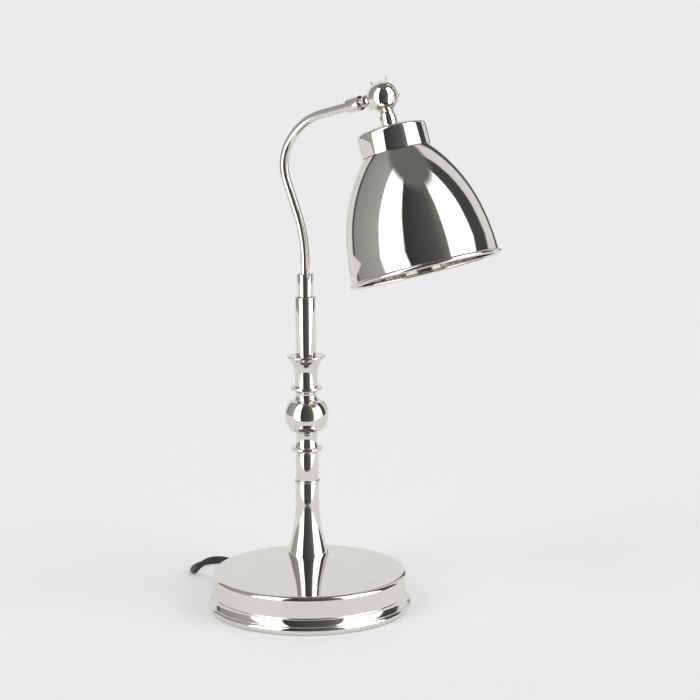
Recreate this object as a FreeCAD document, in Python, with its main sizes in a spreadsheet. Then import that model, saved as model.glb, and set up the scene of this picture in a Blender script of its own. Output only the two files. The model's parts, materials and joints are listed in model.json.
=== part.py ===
import FreeCAD, Part
import math
import os
import Sketcher

# Desk lamp with a dome shade on a bent arm.
# Frame: origin at the centre of the base's underside, +Z up, +X the way the arm reaches at rest,
# so the knuckle's pivot lies along Y. Lengths are in millimetres and angles in degrees.

SIZES = {
    # base: pad, weight and spun cover
    "zero": 0.0,
    "pad_radius": 103.0,
    "pad_thickness": 2.0,
    "cover_skin": 1.2,
    "cover_fit": 0.3,
    "cover_lift": 0.8,
    "base_top": 38.7,
    "wall_radius": 102.0,
    "edge_round": 4.5,
    "wall_foot": 16.6,
    "cove_lip": 0.5,
    "cove_round": 12.0,
    "cove_foot": 8.6,
    "groove_depth": 0.5,
    "bead_top": 7.9,
    "bead_radius": 107.5,
    "bead_neck": 106.0,
    "bead_round": 5.2,
    "weight_top": 15.0,
    "weight_step": 8.0,
    # column: its axis in plan, and the turned pieces from the base upwards
    "column_x": -41.2,
    "column_y": 49.8,
    "rod_radius": 5.0,
    "rod_bore": 3.9,
    "rod_foot": 29.5,
    "rod_top": 328.0,
    "thread_fit": 0.05,
    "rod_gap": 0.3,
    "nut_flats": 17.0,
    "nut_thickness": 5.0,
    "washer_radius": 12.0,
    "washer_thickness": 1.5,
    "foot_radius": 22.3,
    "foot_brow_radius": 20.9,
    "foot_brow": 43.5,
    "foot_cone_radius": 16.9,
    "foot_cone": 61.1,
    "foot_round": 140.0,
    "foot_neck_radius": 12.8,
    "foot_neck": 95.0,
    "foot_top": 117.7,
    "ring_round": 1.8,
    "ring_top": 121.3,
    "sleeve_radius": 12.33,
    "sleeve_top": 151.0,
    "cavetto_radius": 14.9,
    "cavetto_top": 153.3,
    "flange_radius": 17.1,
    "flange_edge": 0.5,
    "lower_disc_top": 157.0,
    "neck_radius": 12.5,
    "lower_neck_foot": 158.2,
    "lower_neck_round": 20.0,
    "lower_neck_top": 172.9,
    "ball_radius": 23.725,
    "ball_shoulder_radius": 17.875,
    "ball_seat_radius": 13.2,
    "ball_seat_low": 174.6,
    "ball_shoulder_low": 176.0,
    "ball_shoulder_high": 207.2,
    "ball_seat_high": 208.6,
    "ball_top": 210.3,
    "upper_neck_round": 6.5,
    "upper_neck_top": 217.6,
    "upper_disc_foot": 219.6,
    "upper_disc_top": 223.0,
    "cup_waist_round": 75.0,
    "cup_waist_top": 236.4,
    "cup_flare_round": 25.5,
    "cup_flare_radius": 20.3,
    "cup_flare_top": 254.4,
    "cup_lip_radius": 20.9,
    "cup_lip_edge": 0.5,
    "cup_top": 256.8,
    "cup_dish": 0.9,
    "cup_seat": 249.0,
    "seat_fit": 0.1,
    "tube_radius": 10.95,
    "tube_top": 320.3,
    "tube_edge": 0.8,
    "ferrule_radius": 8.7,
    "ferrule_top": 345.1,
    "ferrule_ledge": 330.0,
    "ferrule_edge": 0.6,
    "turn_fit": 0.05,
    "end_gap": 0.3,
    "grub_radius": 2.0,
    "grub_height": 337.5,
    "grub_length": 3.2,
    "grub_socket": 1.0,
    "grub_socket_depth": 1.4,
    # arm: a bent tube in the plane y = column_y
    "arm_radius": 5.0,
    "arm_bore": 4.1,
    "arm_upright_top": 360.0,
    "arm_lean_round": 124.0,
    "arm_lean": 22.0,
    "arm_lean_run": 38.5,
    "arm_bow_round": 44.0,
    "arm_bow": 54.0,
    "arm_crest_round": 72.0,
    "arm_rise": 13.5,
    "arm_last_run": 80.7,
    "quarter": 90.0,
    # ferrule at the arm's end, measured from the knuckle's centre along the arm
    "end_ferrule_near": 28.0,
    "end_ferrule_far": 43.8,
    "end_ferrule_radius": 7.9,
    "end_ferrule_floor": 30.5,
    "end_ferrule_hole": 3.5,
    "arm_neck_radius": 4.6,
    "arm_neck_ring_radius": 6.2,
    "arm_neck_ring_near": 20.5,
    "arm_neck_ring_far": 23.5,
    "neck_root": 9.0,
    # knuckle: two half balls with a pegged ring between them, turned about Y
    "knuckle_radius": 15.9,
    "knuckle_swing": 0.35,
    "half_face": 1.3,
    "half_face_radius": 15.85,
    "boss_radius": 6.0,
    "boss_face": 1.25,
    "ring_half": 1.15,
    "ring_rim": 15.4,
    "ring_bevel": 0.2,
    "peg_radius": 0.85,
    "peg_root": 14.0,
    "peg_ball_centre": 19.4,
    "peg_ball": 1.75,
    "bolt_radius": 2.5,
    "bolt_tip": 9.5,
    "bolt_hole_end": 10.0,
    "bolt_head_radius": 4.2,
    "bolt_head_face": 15.0,
    "bolt_socket": 1.5,
    "bolt_socket_floor": 12.9,
    "bore_floor": 10.5,
    "bore_radius": 4.6,
    "bore_mouth": 15.22,
    "spring_washer_radius": 4.4,
    "spring_washer_top": 11.7,
    # shade: heights along its own axis, from the plane of the rolled rim
    "shade_lean": 17.05,
    "knuckle_height": 180.2,
    "shade_skin": 1.2,
    "rim_radius": 77.5,
    "rim_bead": 2.4,
    "rim_out_radius": 77.0,
    "rim_out": 2.35,
    "rim_in_radius": 75.6,
    "rim_in": 1.46,
    "dome_lower_round": 263.0,
    "dome_mid_radius": 71.1,
    "dome_mid": 50.0,
    "dome_upper_round": 165.5,
    "dome_top_radius": 35.9,
    "dome_top": 121.5,
    "dome_crown": 122.0,
    "crown_radius": 34.9,
    "dome_hole": 20.3,
    "cap_radius": 35.8,
    "cap_foot": 122.2,
    "cap_wall_top": 143.4,
    "cap_edge_round": 3.5,
    "cap_edge_radius": 34.0,
    "cap_edge_top": 146.4,
    "cap_dome_round": 73.5,
    "cap_flat_radius": 9.0,
    "cap_top": 150.9,
    "stem_radius": 8.8,
    "stem_top": 161.6,
    "stem_edge": 1.2,
    "shade_neck_radius": 7.4,
    "nipple_foot": 131.5,
    "nipple_top": 163.5,
    "nipple_bore": 3.5,
    "nipple_nut_top": 148.6,
    # lampholder and bulb
    "clamp_outer": 25.5,
    "clamp_foot": 117.0,
    "holder_radius": 19.5,
    "holder_skin": 1.5,
    "holder_split": 118.3,
    "holder_wall_top": 134.0,
    "holder_round": 12.0,
    "holder_crown_radius": 12.0,
    "holder_top": 143.5,
    "skirt_foot": 89.0,
    "skirt_bore": 14.7,
    "core_radius": 17.6,
    "core_foot": 119.0,
    "core_top": 130.0,
    "contact_radius": 3.0,
    "contact_foot": 117.7,
    "shell_bore": 13.7,
    "shell_skin": 0.5,
    "shell_foot": 92.0,
    "bulb_thread_radius": 13.2,
    "bulb_foot": 92.0,
    "bulb_thread_top": 112.5,
    "bulb_tip_radius": 4.5,
    "bulb_tip": 117.3,
    "bulb_neck_radius": 12.9,
    "bulb_ball": 22.5,
    "bulb_shoulder_radius": 20.2,
    "bulb_shoulder": 73.9,
    "bulb_ball_centre": 64.0,
    "bulb_skin": 1.0,
    "bulb_flare_round": 34.0,
    # cord, its gland and its inner stretches
    "cord_radius": 2.75,
    "exit_angle": 172.3,
    "exit_height": 24.0,
    "gland_inner": 93.0,
    "gland_nut_radius": 7.0,
    "gland_nut_face": 100.4,
    "gland_waist_radius": 4.9,
    "gland_hole": 5.0,
    "gland_collar_face": 102.1,
    "gland_collar_radius": 6.5,
    "gland_collar_top": 104.0,
    "gland_taper_radius": 5.2,
    "gland_taper_foot": 104.8,
    "gland_tip_radius": 3.5,
    "gland_tip": 124.0,
    "gland_bore": 2.9,
    "lead_straight": 13.0,
    "flex_bend": 12.5,
    "flex_foot_bend": 9.0,
    "flex_in": 12.8,
    "flex_low_in": 25.0,
    "flex_side": 2.75,
    "flex_side_angle": 45.0,
    # switch in the lead, in its own frame: X along the cord, origin on the floor
    "switch_x": -125.7,
    "switch_y": 76.1,
    "switch_angle": 10.0,
    "switch_half_length": 25.0,
    "switch_half_width": 10.0,
    "switch_split": 6.0,
    "switch_top": 12.5,
    "switch_corner": 4.0,
    "switch_edge": 1.5,
    "well_half_length": 7.8,
    "well_half_width": 4.5,
    "well_floor": 6.4,
    "rocker_half_length": 7.0,
    "rocker_half_width": 4.1,
    "rocker_pivot": 10.0,
    "rocker_tip": 13.6,
    "rocker_dish": 12.7,
    "rocker_keel": 7.3,
    "rocker_keel_half": 3.0,
    "trunnion_radius": 1.2,
    "trunnion_end": 5.1,
    "trunnion_hole": 1.25,
    "trunnion_hole_end": 5.4,
    "screw_x": 16.0,
    "screw_radius": 1.3,
    "screw_head_radius": 2.4,
    "screw_head": 1.6,
    "screw_top": 10.0,
    "screw_recess": 0.6,
    # coil and plug
    "coil_x": -84.8,
    "coil_y": 127.56,
    "coil_radius": 40.0,
    "coil_pitch": 5.96,
    "layer_pitch": 5.95,
    "coil_angle": 38.3,
    "tail_run": 32.0,
    "plug_length": 36.0,
    "plug_rear_half": 8.0,
    "plug_front_half": 16.0,
    "plug_shoulder": 20.0,
    "plug_edge": 2.5,
    "pin_radius": 2.0,
    "pin_length": 19.0,
    "pin_spacing": 19.0,
    "pin_root": 6.0,
}

PEG_ANGLES = (5.3, 76.5, 137.0, 219.6)
COIL_QUARTERS = 13

# How near an edge lies to the height or length it is picked by.
NEAR = 0.01

# The cord's own points by hand, from the gland to the switch and from the switch to the coil.
LEAD_POINTS = (
    (-151.1, 9.9, 22.5),
    (-162.3, 5.8, 12.3),
    (-173.6, 11.8, 2.75),
    (-186.3, 22.2, 2.75),
    (-192.0, 38.9, 2.75),
    (-190.0, 55.5, 2.75),
    (-179.1, 66.7, 2.75),
)
LINK_POINTS = ((-72.96, 85.94, 2.75),)

document = FreeCAD.newDocument("DeskLamp")
sheet = document.addObject("Spreadsheet::Sheet", "Sizes")
for row, (alias, number) in enumerate(SIZES.items(), start=1):
    sheet.set("A%d" % row, alias)
    sheet.set("B%d" % row, str(number))
    sheet.setAlias("B%d" % row, alias)
document.recompute()

PARTS = []
Z_AXIS = FreeCAD.Vector(0, 0, 1)
Y_AXIS = FreeCAD.Vector(0, 1, 0)
X_AXIS = FreeCAD.Vector(1, 0, 0)


def size(words):
    """Value of a sum of named sizes, such as 'wall_radius - cover_skin'."""
    total = 0.0
    sign = 1.0
    for word in words.split():
        if word in "+-":
            sign = 1.0 if word == "+" else -1.0
        else:
            total += sign * SIZES[word]
    return total


def formula(words):
    """The same sum as an expression on the sheet."""
    return " ".join(word if word in "+-" else "Sizes." + word for word in words.split())


def bind(item, field, words):
    """Bind one property to a sum of named sizes."""
    item.setExpression(field, formula(words))


def direction(degrees):
    """Unit vector in the XY plane."""
    return FreeCAD.Vector(math.cos(math.radians(degrees)), math.sin(math.radians(degrees)), 0)


def name_part(item, label):
    """Give a finished piece the label that names its file."""
    item.Label = label
    PARTS.append(item)
    return item


# ---------------------------------------------------------------- frames

def place(x, y, z, rotation=None):
    """A placement at a point, turned or not."""
    return FreeCAD.Placement(FreeCAD.Vector(x, y, z), rotation or FreeCAD.Rotation())


def arm_path():
    """Points of the arm's centre line: corners of its runs, and the middle of each bend."""
    heading = math.radians(size("quarter"))
    spot = [0.0, size("arm_upright_top")]
    spots = [tuple(spot)]
    bends = (
        (size("arm_lean_round"), math.radians(size("arm_lean")), size("arm_lean_run")),
        (size("arm_bow_round"), -math.radians(size("arm_bow")), 0.0),
        (size("arm_crest_round"), None, 0.0),
    )
    for radius, turn, run in bends:
        if turn is None:
            turn = math.radians(size("arm_rise")) - heading
        side = math.copysign(radius, turn)
        centre = (spot[0] - side * math.sin(heading), spot[1] + side * math.cos(heading))
        for share in (0.5, 1.0):
            angle = heading + turn * share
            spots.append((centre[0] + side * math.sin(angle), centre[1] - side * math.cos(angle)))
        heading += turn
        spot = [spots[-1][0] + run * math.cos(heading), spots[-1][1] + run * math.sin(heading)]
        if run:
            spots.append(tuple(spot))
    column = FreeCAD.Vector(size("column_x"), size("column_y"), 0)
    return [column + FreeCAD.Vector(across, 0, up) for across, up in spots]


def arm_end(distance):
    """Point on the arm's last run, at a distance before the knuckle's centre."""
    rise = math.radians(size("arm_rise"))
    run = size("arm_last_run") - distance
    return arm_path()[-1] + FreeCAD.Vector(math.cos(rise), 0, math.sin(rise)) * run


KNUCKLE = arm_end(0.0)
COLUMN = place(size("column_x"), size("column_y"), 0)
ARM_END = FreeCAD.Placement(KNUCKLE, FreeCAD.Rotation(Y_AXIS, -size("quarter + arm_rise")))
PIVOT = FreeCAD.Placement(KNUCKLE, FreeCAD.Rotation(X_AXIS, -size("quarter")))
SHADE_TURN = FreeCAD.Rotation(Y_AXIS, -size("shade_lean"))
SHADE_BASE = KNUCKLE - SHADE_TURN.multVec(Z_AXIS * size("knuckle_height"))
SHADE = FreeCAD.Placement(SHADE_BASE, SHADE_TURN)
EXIT = FreeCAD.Placement(
    FreeCAD.Vector(0, 0, size("exit_height")),
    FreeCAD.Rotation(Z_AXIS, size("exit_angle")).multiply(FreeCAD.Rotation(Y_AXIS, size("quarter"))),
)
SWITCH = place(
    size("switch_x"), size("switch_y"), 0, FreeCAD.Rotation(Z_AXIS, size("switch_angle"))
)


# ---------------------------------------------------------------- sketches

def fix_point(sketch, edge, end, across, up):
    """Hold one end of an edge at a named place."""
    for kind, axis, words in (("DistanceX", -2, across), ("DistanceY", -1, up)):
        if words == "zero":
            sketch.addConstraint(Sketcher.Constraint("PointOnObject", edge, end, axis))
            continue
        index = sketch.addConstraint(Sketcher.Constraint(kind, -1, 1, edge, end, size(words)))
        bind(sketch, "Constraints[%d]" % index, words)


def draw(sketch, steps):
    """Closed outline. A step is (across, up) for a line to that point, or
    (across, up, radius, side) for an arc to it, with side +1 to turn left and -1 to turn right."""
    corners = [FreeCAD.Vector(size(step[0]), size(step[1]), 0) for step in steps]
    ends = []
    for index, step in enumerate(steps):
        start = corners[index - 1]
        finish = corners[index]
        if len(step) == 2:
            edge = sketch.addGeometry(Part.LineSegment(start, finish), False)
            ends.append((edge, 1, 2))
            continue
        radius = size(step[2])
        chord = finish.sub(start)
        half = chord.Length / 2
        normal = FreeCAD.Vector(-chord.y, chord.x, 0).normalize() * step[3]
        centre = (start + finish) * 0.5 + normal * math.sqrt(radius**2 - half**2)
        first, last = (start, finish) if step[3] > 0 else (finish, start)
        angles = [math.atan2(point.y - centre.y, point.x - centre.x) for point in (first, last)]
        if angles[1] < angles[0]:
            angles[1] += 2 * math.pi
        circle = Part.Circle(centre, Z_AXIS, radius)
        edge = sketch.addGeometry(Part.ArcOfCircle(circle, angles[0], angles[1]), False)
        held = sketch.addConstraint(Sketcher.Constraint("Radius", edge, radius))
        bind(sketch, "Constraints[%d]" % held, step[2])
        ends.append((edge, 1, 2) if step[3] > 0 else (edge, 2, 1))
    for index, (edge, start_end, finish_end) in enumerate(ends):
        after = ends[(index + 1) % len(ends)]
        sketch.addConstraint(Sketcher.Constraint("Coincident", edge, finish_end, after[0], after[1]))
        fix_point(sketch, edge, finish_end, steps[index][0], steps[index][1])


def sketch_on(body, role, steps):
    """A sketch on one of the body's own origin planes."""
    plane = [item for item in body.Origin.OriginFeatures if item.Role == role][0]
    sketch = body.newObject("Sketcher::SketchObject", body.Name + "Outline")
    sketch.AttachmentSupport = (plane, [""])
    sketch.MapMode = "FlatFace"
    draw(sketch, steps)
    return sketch


def turned(name, steps, where):
    """A piece turned on a lathe: (radius, height) steps spun about its own Z axis."""
    body = document.addObject("PartDesign::Body", name)
    sketch = sketch_on(body, "XZ_Plane", steps)
    spin = body.newObject("PartDesign::Revolution", name + "Spin")
    spin.Profile = sketch
    spin.ReferenceAxis = (sketch, ["V_Axis"])
    spin.Angle = 360.0
    body.Placement = where
    return body


def pulled(name, role, steps, length, where, both=False):
    """A piece of constant section: steps on a plane, pulled along its normal."""
    body = document.addObject("PartDesign::Body", name)
    sketch = sketch_on(body, role, steps)
    pad = body.newObject("PartDesign::Pad", name + "Pull")
    pad.Profile = sketch
    pad.Midplane = both
    bind(pad, "Length", length)
    body.Placement = where
    return body


def cylinder(name, radius, height, where):
    tool = document.addObject("Part::Cylinder", name)
    bind(tool, "Radius", radius)
    bind(tool, "Height", height)
    tool.Placement = where
    return tool


def cut(name, base, tools):
    """Take each tool away in turn."""
    for index, tool in enumerate(tools):
        step = document.addObject("Part::Cut", name + ("" if index == len(tools) - 1 else "Cut%d" % index))
        step.Base = base
        step.Tool = tool
        base = step
    return base


def fuse(name, pieces):
    joined = document.addObject("Part::MultiFuse", name)
    joined.Shapes = pieces
    joined.Refine = True
    return joined


def rounded(name, body, length, pick):
    """Round the edges that pick chooses."""
    document.recompute()
    before = body.Tip
    edges = ["Edge%d" % (index + 1) for index, edge in enumerate(before.Shape.Edges) if pick(edge)]
    fillet = body.newObject("PartDesign::Fillet", name + "Round")
    fillet.Base = (before, edges)
    bind(fillet, "Radius", length)
    return fillet


def upright(edge):
    return abs(edge.tangentAt(edge.FirstParameter).z) > 0.99


# ---------------------------------------------------------------- paths

def bent_path(points, radii):
    """Straight runs joined by tangent arcs."""
    edges = []
    last = points[0]
    for index in range(1, len(points) - 1):
        corner = points[index]
        back = (points[index - 1] - corner).normalize()
        ahead = (points[index + 1] - corner).normalize()
        turn = math.pi - back.getAngle(ahead)
        reach = radii[index - 1] * math.tan(turn / 2)
        start = corner + back * reach
        finish = corner + ahead * reach
        middle = (back + ahead).normalize()
        rise = radii[index - 1] / math.cos(turn / 2) - radii[index - 1]
        edges.append(Part.LineSegment(last, start).toShape())
        edges.append(Part.Arc(start, corner + middle * rise, finish).toShape())
        last = finish
    edges.append(Part.LineSegment(last, points[-1]).toShape())
    return Part.Wire(edges)


def cord_radii(points, label):
    """Each bend as large as its two runs allow."""
    radii = []
    for index in range(1, len(points) - 1):
        back = points[index - 1] - points[index]
        ahead = points[index + 1] - points[index]
        turn = math.pi - back.getAngle(ahead)
        radii.append(0.45 * min(back.Length, ahead.Length) / math.tan(turn / 2))
    print(label, "bend radii", [round(radius, 1) for radius in radii])
    return radii


def tube(name, wire, radius):
    """A round tube along a wire, with its volume compared with section times length."""
    start = wire.Edges[0]
    ring = Part.Circle(start.valueAt(start.FirstParameter), start.tangentAt(start.FirstParameter), radius)
    solid = wire.makePipeShell([Part.Wire(ring.toShape())], True, False)
    expected = math.pi * radius**2 * wire.Length
    print(name, "length %.1f, volume ratio %.4f" % (wire.Length, solid.Volume / expected))
    item = document.addObject("Part::Feature", name)
    item.Shape = solid
    return item


def coil_wire():
    """Two flat layers: quarter turns spiral in, a tilted half turn climbs, and the next layer
    spirals out, ending above where it began. Both ends run straight for a little."""
    heading = math.radians(size("coil_angle"))
    step = size("coil_pitch") / 4
    centre = FreeCAD.Vector(size("coil_x"), size("coil_y"), size("cord_radius"))
    along = FreeCAD.Vector(math.cos(heading), math.sin(heading), 0)
    inward = FreeCAD.Vector(-along.y, along.x, 0)
    spot = centre - inward * size("coil_radius")
    edges = [Part.LineSegment(spot - along * size("cord_radius + cord_radius"), spot).toShape()]
    radii = [size("coil_radius") - step * index for index in range(COIL_QUARTERS)]
    climb = radii[-1] - step
    tilt = size("layer_pitch") / (2 * climb)
    diagonal = math.sqrt(0.5)
    for layer in (radii, radii[::-1]):
        for radius in layer:
            middle = spot + inward * radius * (1 - diagonal) + along * radius * diagonal
            finish = spot + inward * radius + along * radius
            edges.append(Part.Arc(spot, middle, finish).toShape())
            spot = finish
            along, inward = inward, -along
        if layer is radii:
            lean = inward * math.sqrt(1 - tilt**2) + Z_AXIS * tilt
            middle = spot + (lean + along) * climb
            finish = spot + lean * (2 * climb)
            edges.append(Part.Arc(spot, middle, finish).toShape())
            spot = finish
            along, inward = -along, -inward
    finish = spot + along * size("tail_run")
    edges.append(Part.LineSegment(spot, finish).toShape())
    return Part.Wire(edges), finish


def least_self_gap(wire, radius, spacing=2.5):
    """Least gap between stretches of one tube that are over three diameters apart along it."""
    points = wire.discretize(Distance=spacing)
    skip = int(6 * radius / spacing) + 1
    least = min(
        points[first].distanceToPoint(points[second])
        for first in range(len(points))
        for second in range(first + skip, len(points))
    )
    return least - 2 * radius


# ---------------------------------------------------------------- base

def build_base():
    pad = [
        ("zero", "zero"),
        ("pad_radius", "zero"),
        ("pad_radius", "pad_thickness"),
        ("zero", "pad_thickness"),
    ]
    name_part(turned("FeltPad", pad, place(0, 0, 0)), "felt_pad")

    inner_foot = "bead_neck - cover_skin"
    inner_wall = "wall_radius - cover_skin"
    weight = [
        ("zero", "pad_thickness"),
        (inner_foot + " - cover_fit", "pad_thickness"),
        (inner_foot + " - cover_fit", "weight_step"),
        (inner_wall + " - cover_fit", "weight_top"),
        ("zero", "weight_top"),
    ]
    name_part(turned("BaseWeight", weight, place(0, 0, 0)), "base_weight")

    cover = [
        ("zero", "base_top - cover_skin"),
        ("wall_radius - edge_round", "base_top - cover_skin"),
        (inner_wall, "base_top - edge_round", "edge_round - cover_skin", -1),
        (inner_wall, "weight_top + cover_fit + cover_fit"),
        (inner_foot, "weight_step + cover_fit"),
        (inner_foot, "cover_lift"),
        ("bead_neck", "cover_lift"),
        ("bead_neck", "bead_top", "bead_round", 1),
        ("bead_neck - groove_depth", "bead_top"),
        ("bead_neck - groove_depth", "cove_foot"),
        ("wall_radius + cove_lip", "wall_foot - cove_lip", "cove_round", -1),
        ("wall_radius", "wall_foot"),
        ("wall_radius", "base_top - edge_round"),
        ("wall_radius - edge_round", "base_top", "edge_round", 1),
        ("zero", "base_top"),
    ]
    shell = turned("CoverShell", cover, place(0, 0, 0))
    rod_way = cylinder("CoverRodWay", "rod_radius + rod_gap", "base_top + base_top", COLUMN)
    cord_way = cylinder("CoverCordWay", "gland_hole", "bead_radius", EXIT)
    name_part(cut("BaseCover", shell, [rod_way, cord_way]), "base_cover")


def hex_nut(name, label, foot, where):
    """A plain hexagon nut on the rod's thread."""
    blank = document.addObject("Part::Prism", name + "Blank")
    blank.Polygon = 6
    blank.setExpression("Circumradius", "Sizes.nut_flats / sqrt(3)")
    bind(blank, "Height", "nut_thickness")
    seat = where.multiply(place(0, 0, foot))
    blank.Placement = seat
    thread = cylinder(name + "Thread", "rod_radius + thread_fit", "nut_thickness", seat)
    return name_part(cut(name, blank, [thread]), label)


# ---------------------------------------------------------------- column

def build_column():
    bore = "rod_radius + rod_gap"
    rod = [
        ("rod_bore", "rod_foot"),
        ("rod_radius", "rod_foot"),
        ("rod_radius", "rod_top"),
        ("rod_bore", "rod_top"),
    ]
    name_part(turned("TieRod", rod, COLUMN), "tie_rod")
    under = "base_top - cover_skin"
    washer = [
        (bore, under + " - washer_thickness"),
        ("washer_radius", under + " - washer_thickness"),
        ("washer_radius", under),
        (bore, under),
    ]
    name_part(turned("RodWasher", washer, COLUMN), "rod_washer")
    nut_foot = size(under + " - washer_thickness - nut_thickness")
    hex_nut("RodNut", "rod_nut", nut_foot, COLUMN)

    foot = [
        (bore, "base_top"),
        ("foot_radius", "base_top"),
        ("foot_brow_radius", "foot_brow"),
        ("foot_cone_radius", "foot_cone"),
        ("foot_neck_radius", "foot_neck", "foot_round", -1),
        ("foot_neck_radius", "foot_top"),
        (bore, "foot_top"),
    ]
    name_part(turned("ColumnFoot", foot, COLUMN), "column_foot")

    ring = [
        (bore, "foot_top"),
        ("foot_neck_radius", "foot_top"),
        ("foot_neck_radius", "ring_top", "ring_round + seat_fit", 1),
        (bore, "ring_top"),
    ]
    name_part(turned("ColumnRing", ring, COLUMN), "column_ring")

    sleeve = [
        (bore, "ring_top"),
        ("sleeve_radius", "ring_top"),
        ("sleeve_radius", "sleeve_top"),
        (bore, "sleeve_top"),
    ]
    name_part(turned("ColumnSleeve", sleeve, COLUMN), "column_sleeve")

    lower = [
        (bore, "sleeve_top"),
        ("sleeve_radius", "sleeve_top"),
        ("cavetto_radius", "cavetto_top", "neck_radius", -1),
        ("flange_radius - flange_edge", "cavetto_top"),
        ("flange_radius", "cavetto_top + flange_edge"),
        ("flange_radius", "lower_disc_top - flange_edge"),
        ("flange_radius - flange_edge", "lower_disc_top"),
        ("neck_radius + flange_edge", "lower_disc_top"),
        ("neck_radius", "lower_neck_foot"),
        ("neck_radius", "lower_neck_top", "lower_neck_round", -1),
        (bore, "lower_neck_top"),
    ]
    name_part(turned("LowerCollar", lower, COLUMN), "lower_collar")

    ball = [
        (bore, "lower_neck_top"),
        ("neck_radius", "lower_neck_top"),
        ("ball_seat_radius", "ball_seat_low"),
        ("ball_shoulder_radius", "ball_shoulder_low"),
        ("ball_shoulder_radius", "ball_shoulder_high", "ball_radius", 1),
        ("ball_seat_radius", "ball_seat_high"),
        ("neck_radius", "ball_top"),
        (bore, "ball_top"),
    ]
    name_part(turned("ColumnBall", ball, COLUMN), "column_ball")

    upper = [
        (bore, "ball_top"),
        ("neck_radius", "ball_top"),
        ("neck_radius", "upper_neck_top", "upper_neck_round", -1),
        ("cavetto_radius", "upper_disc_foot"),
        ("flange_radius", "upper_disc_foot + flange_edge"),
        ("flange_radius", "upper_disc_top - flange_edge"),
        ("flange_radius - flange_edge", "upper_disc_top"),
        (bore, "upper_disc_top"),
    ]
    name_part(turned("UpperCollar", upper, COLUMN), "upper_collar")

    seat = "tube_radius + seat_fit"
    cup = [
        (bore, "upper_disc_top"),
        ("neck_radius", "upper_disc_top"),
        ("neck_radius", "cup_waist_top", "cup_waist_round", -1),
        ("cup_flare_radius", "cup_flare_top", "cup_flare_round", -1),
        ("cup_lip_radius", "cup_flare_top + cup_lip_edge"),
        ("cup_lip_radius", "cup_top - cup_lip_edge"),
        ("cup_lip_radius - cup_lip_edge", "cup_top"),
        ("cup_flare_radius - flange_edge", "cup_top"),
        (seat, "cup_top - cup_dish"),
        (seat, "cup_seat"),
        (bore, "cup_seat"),
    ]
    name_part(turned("ColumnCup", cup, COLUMN), "column_cup")

    tube_steps = [
        (bore, "cup_seat"),
        ("tube_radius", "cup_seat"),
        ("tube_radius", "tube_top - tube_edge"),
        ("tube_radius - tube_edge", "tube_top"),
        (bore, "tube_top"),
    ]
    name_part(turned("ColumnTube", tube_steps, COLUMN), "column_tube")

    thread = "rod_radius + thread_fit"
    socket = "arm_radius + turn_fit"
    ferrule = [
        (thread, "tube_top"),
        ("ferrule_radius - ferrule_edge", "tube_top"),
        ("ferrule_radius", "tube_top + ferrule_edge"),
        ("ferrule_radius", "ferrule_top - ferrule_edge"),
        ("ferrule_radius - ferrule_edge", "ferrule_top"),
        (socket, "ferrule_top"),
        (socket, "ferrule_ledge"),
        ("arm_bore", "ferrule_ledge"),
        ("arm_bore", "rod_top + end_gap"),
        (thread, "rod_top + end_gap"),
    ]
    blank = turned("FerruleBlank", ferrule, COLUMN)
    toward_arm = FreeCAD.Rotation(Y_AXIS, size("quarter"))
    grub_seat = COLUMN.multiply(place(0, 0, size("grub_height"), toward_arm))
    grub_way = cylinder("GrubWay", "grub_radius + thread_fit", "tube_radius", grub_seat)
    name_part(cut("ColumnFerrule", blank, [grub_way]), "column_ferrule")

    tip = "arm_radius + end_gap"
    grub = [
        ("zero", tip),
        ("grub_radius", tip),
        ("grub_radius", tip + " + grub_length"),
        ("grub_socket", tip + " + grub_length"),
        ("grub_socket", tip + " + grub_length - grub_socket_depth"),
        ("zero", tip + " + grub_length - grub_socket_depth"),
    ]
    name_part(turned("GrubScrew", grub, grub_seat), "grub_screw")


# ---------------------------------------------------------------- arm and knuckle

def swept(name, path, radius):
    """A round bar along a drawn path."""
    section = document.addObject("Part::Circle", name + "Section")
    bind(section, "Radius", radius)
    start = path.Shape.Edges[0]
    foot = start.valueAt(start.FirstParameter)
    section.Placement = place(foot.x, foot.y, foot.z)
    sweep = document.addObject("Part::Sweep", name)
    sweep.Sections = [section]
    sweep.Spine = (path, ["Edge%d" % (index + 1) for index in range(len(path.Shape.Edges))])
    sweep.Solid = True
    sweep.Frenet = False
    return sweep


def arm_wire(foot, distance):
    """The arm's centre line, from a height on the column to a distance before the knuckle."""
    spots = arm_path()
    start = FreeCAD.Vector(spots[0].x, spots[0].y, foot)
    lean = Part.Arc(spots[0], spots[1], spots[2])
    bow = Part.Arc(spots[3], spots[4], spots[5])
    crest = Part.Arc(spots[5], spots[6], spots[7])
    runs = [
        Part.LineSegment(start, spots[0]),
        lean,
        Part.LineSegment(spots[2], spots[3]),
        bow,
        crest,
        Part.LineSegment(spots[7], arm_end(distance)),
    ]
    return Part.Wire([run.toShape() for run in runs])


def build_arm():
    path = document.addObject("Part::Feature", "ArmPath")
    path.Shape = arm_wire(size("ferrule_ledge + end_gap"), size("end_ferrule_floor + end_gap"))
    outer = swept("ArmOutside", path, "arm_radius")
    inner = swept("ArmInside", path, "arm_bore")
    name_part(cut("ArmTube", outer, [inner]), "arm_tube")

    socket = "arm_radius + turn_fit"
    ferrule = [
        ("end_ferrule_hole", "end_ferrule_near"),
        ("end_ferrule_radius - ferrule_edge", "end_ferrule_near"),
        ("end_ferrule_radius", "end_ferrule_near + ferrule_edge"),
        ("end_ferrule_radius", "end_ferrule_far - ferrule_edge"),
        ("end_ferrule_radius - ferrule_edge", "end_ferrule_far"),
        (socket, "end_ferrule_far"),
        (socket, "end_ferrule_floor"),
        ("end_ferrule_hole", "end_ferrule_floor"),
    ]
    name_part(turned("ArmEndFerrule", ferrule, ARM_END), "arm_end_ferrule")


def ball(name, radius, where):
    item = document.addObject("Part::Sphere", name)
    bind(item, "Radius", radius)
    item.Placement = where
    return item


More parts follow.
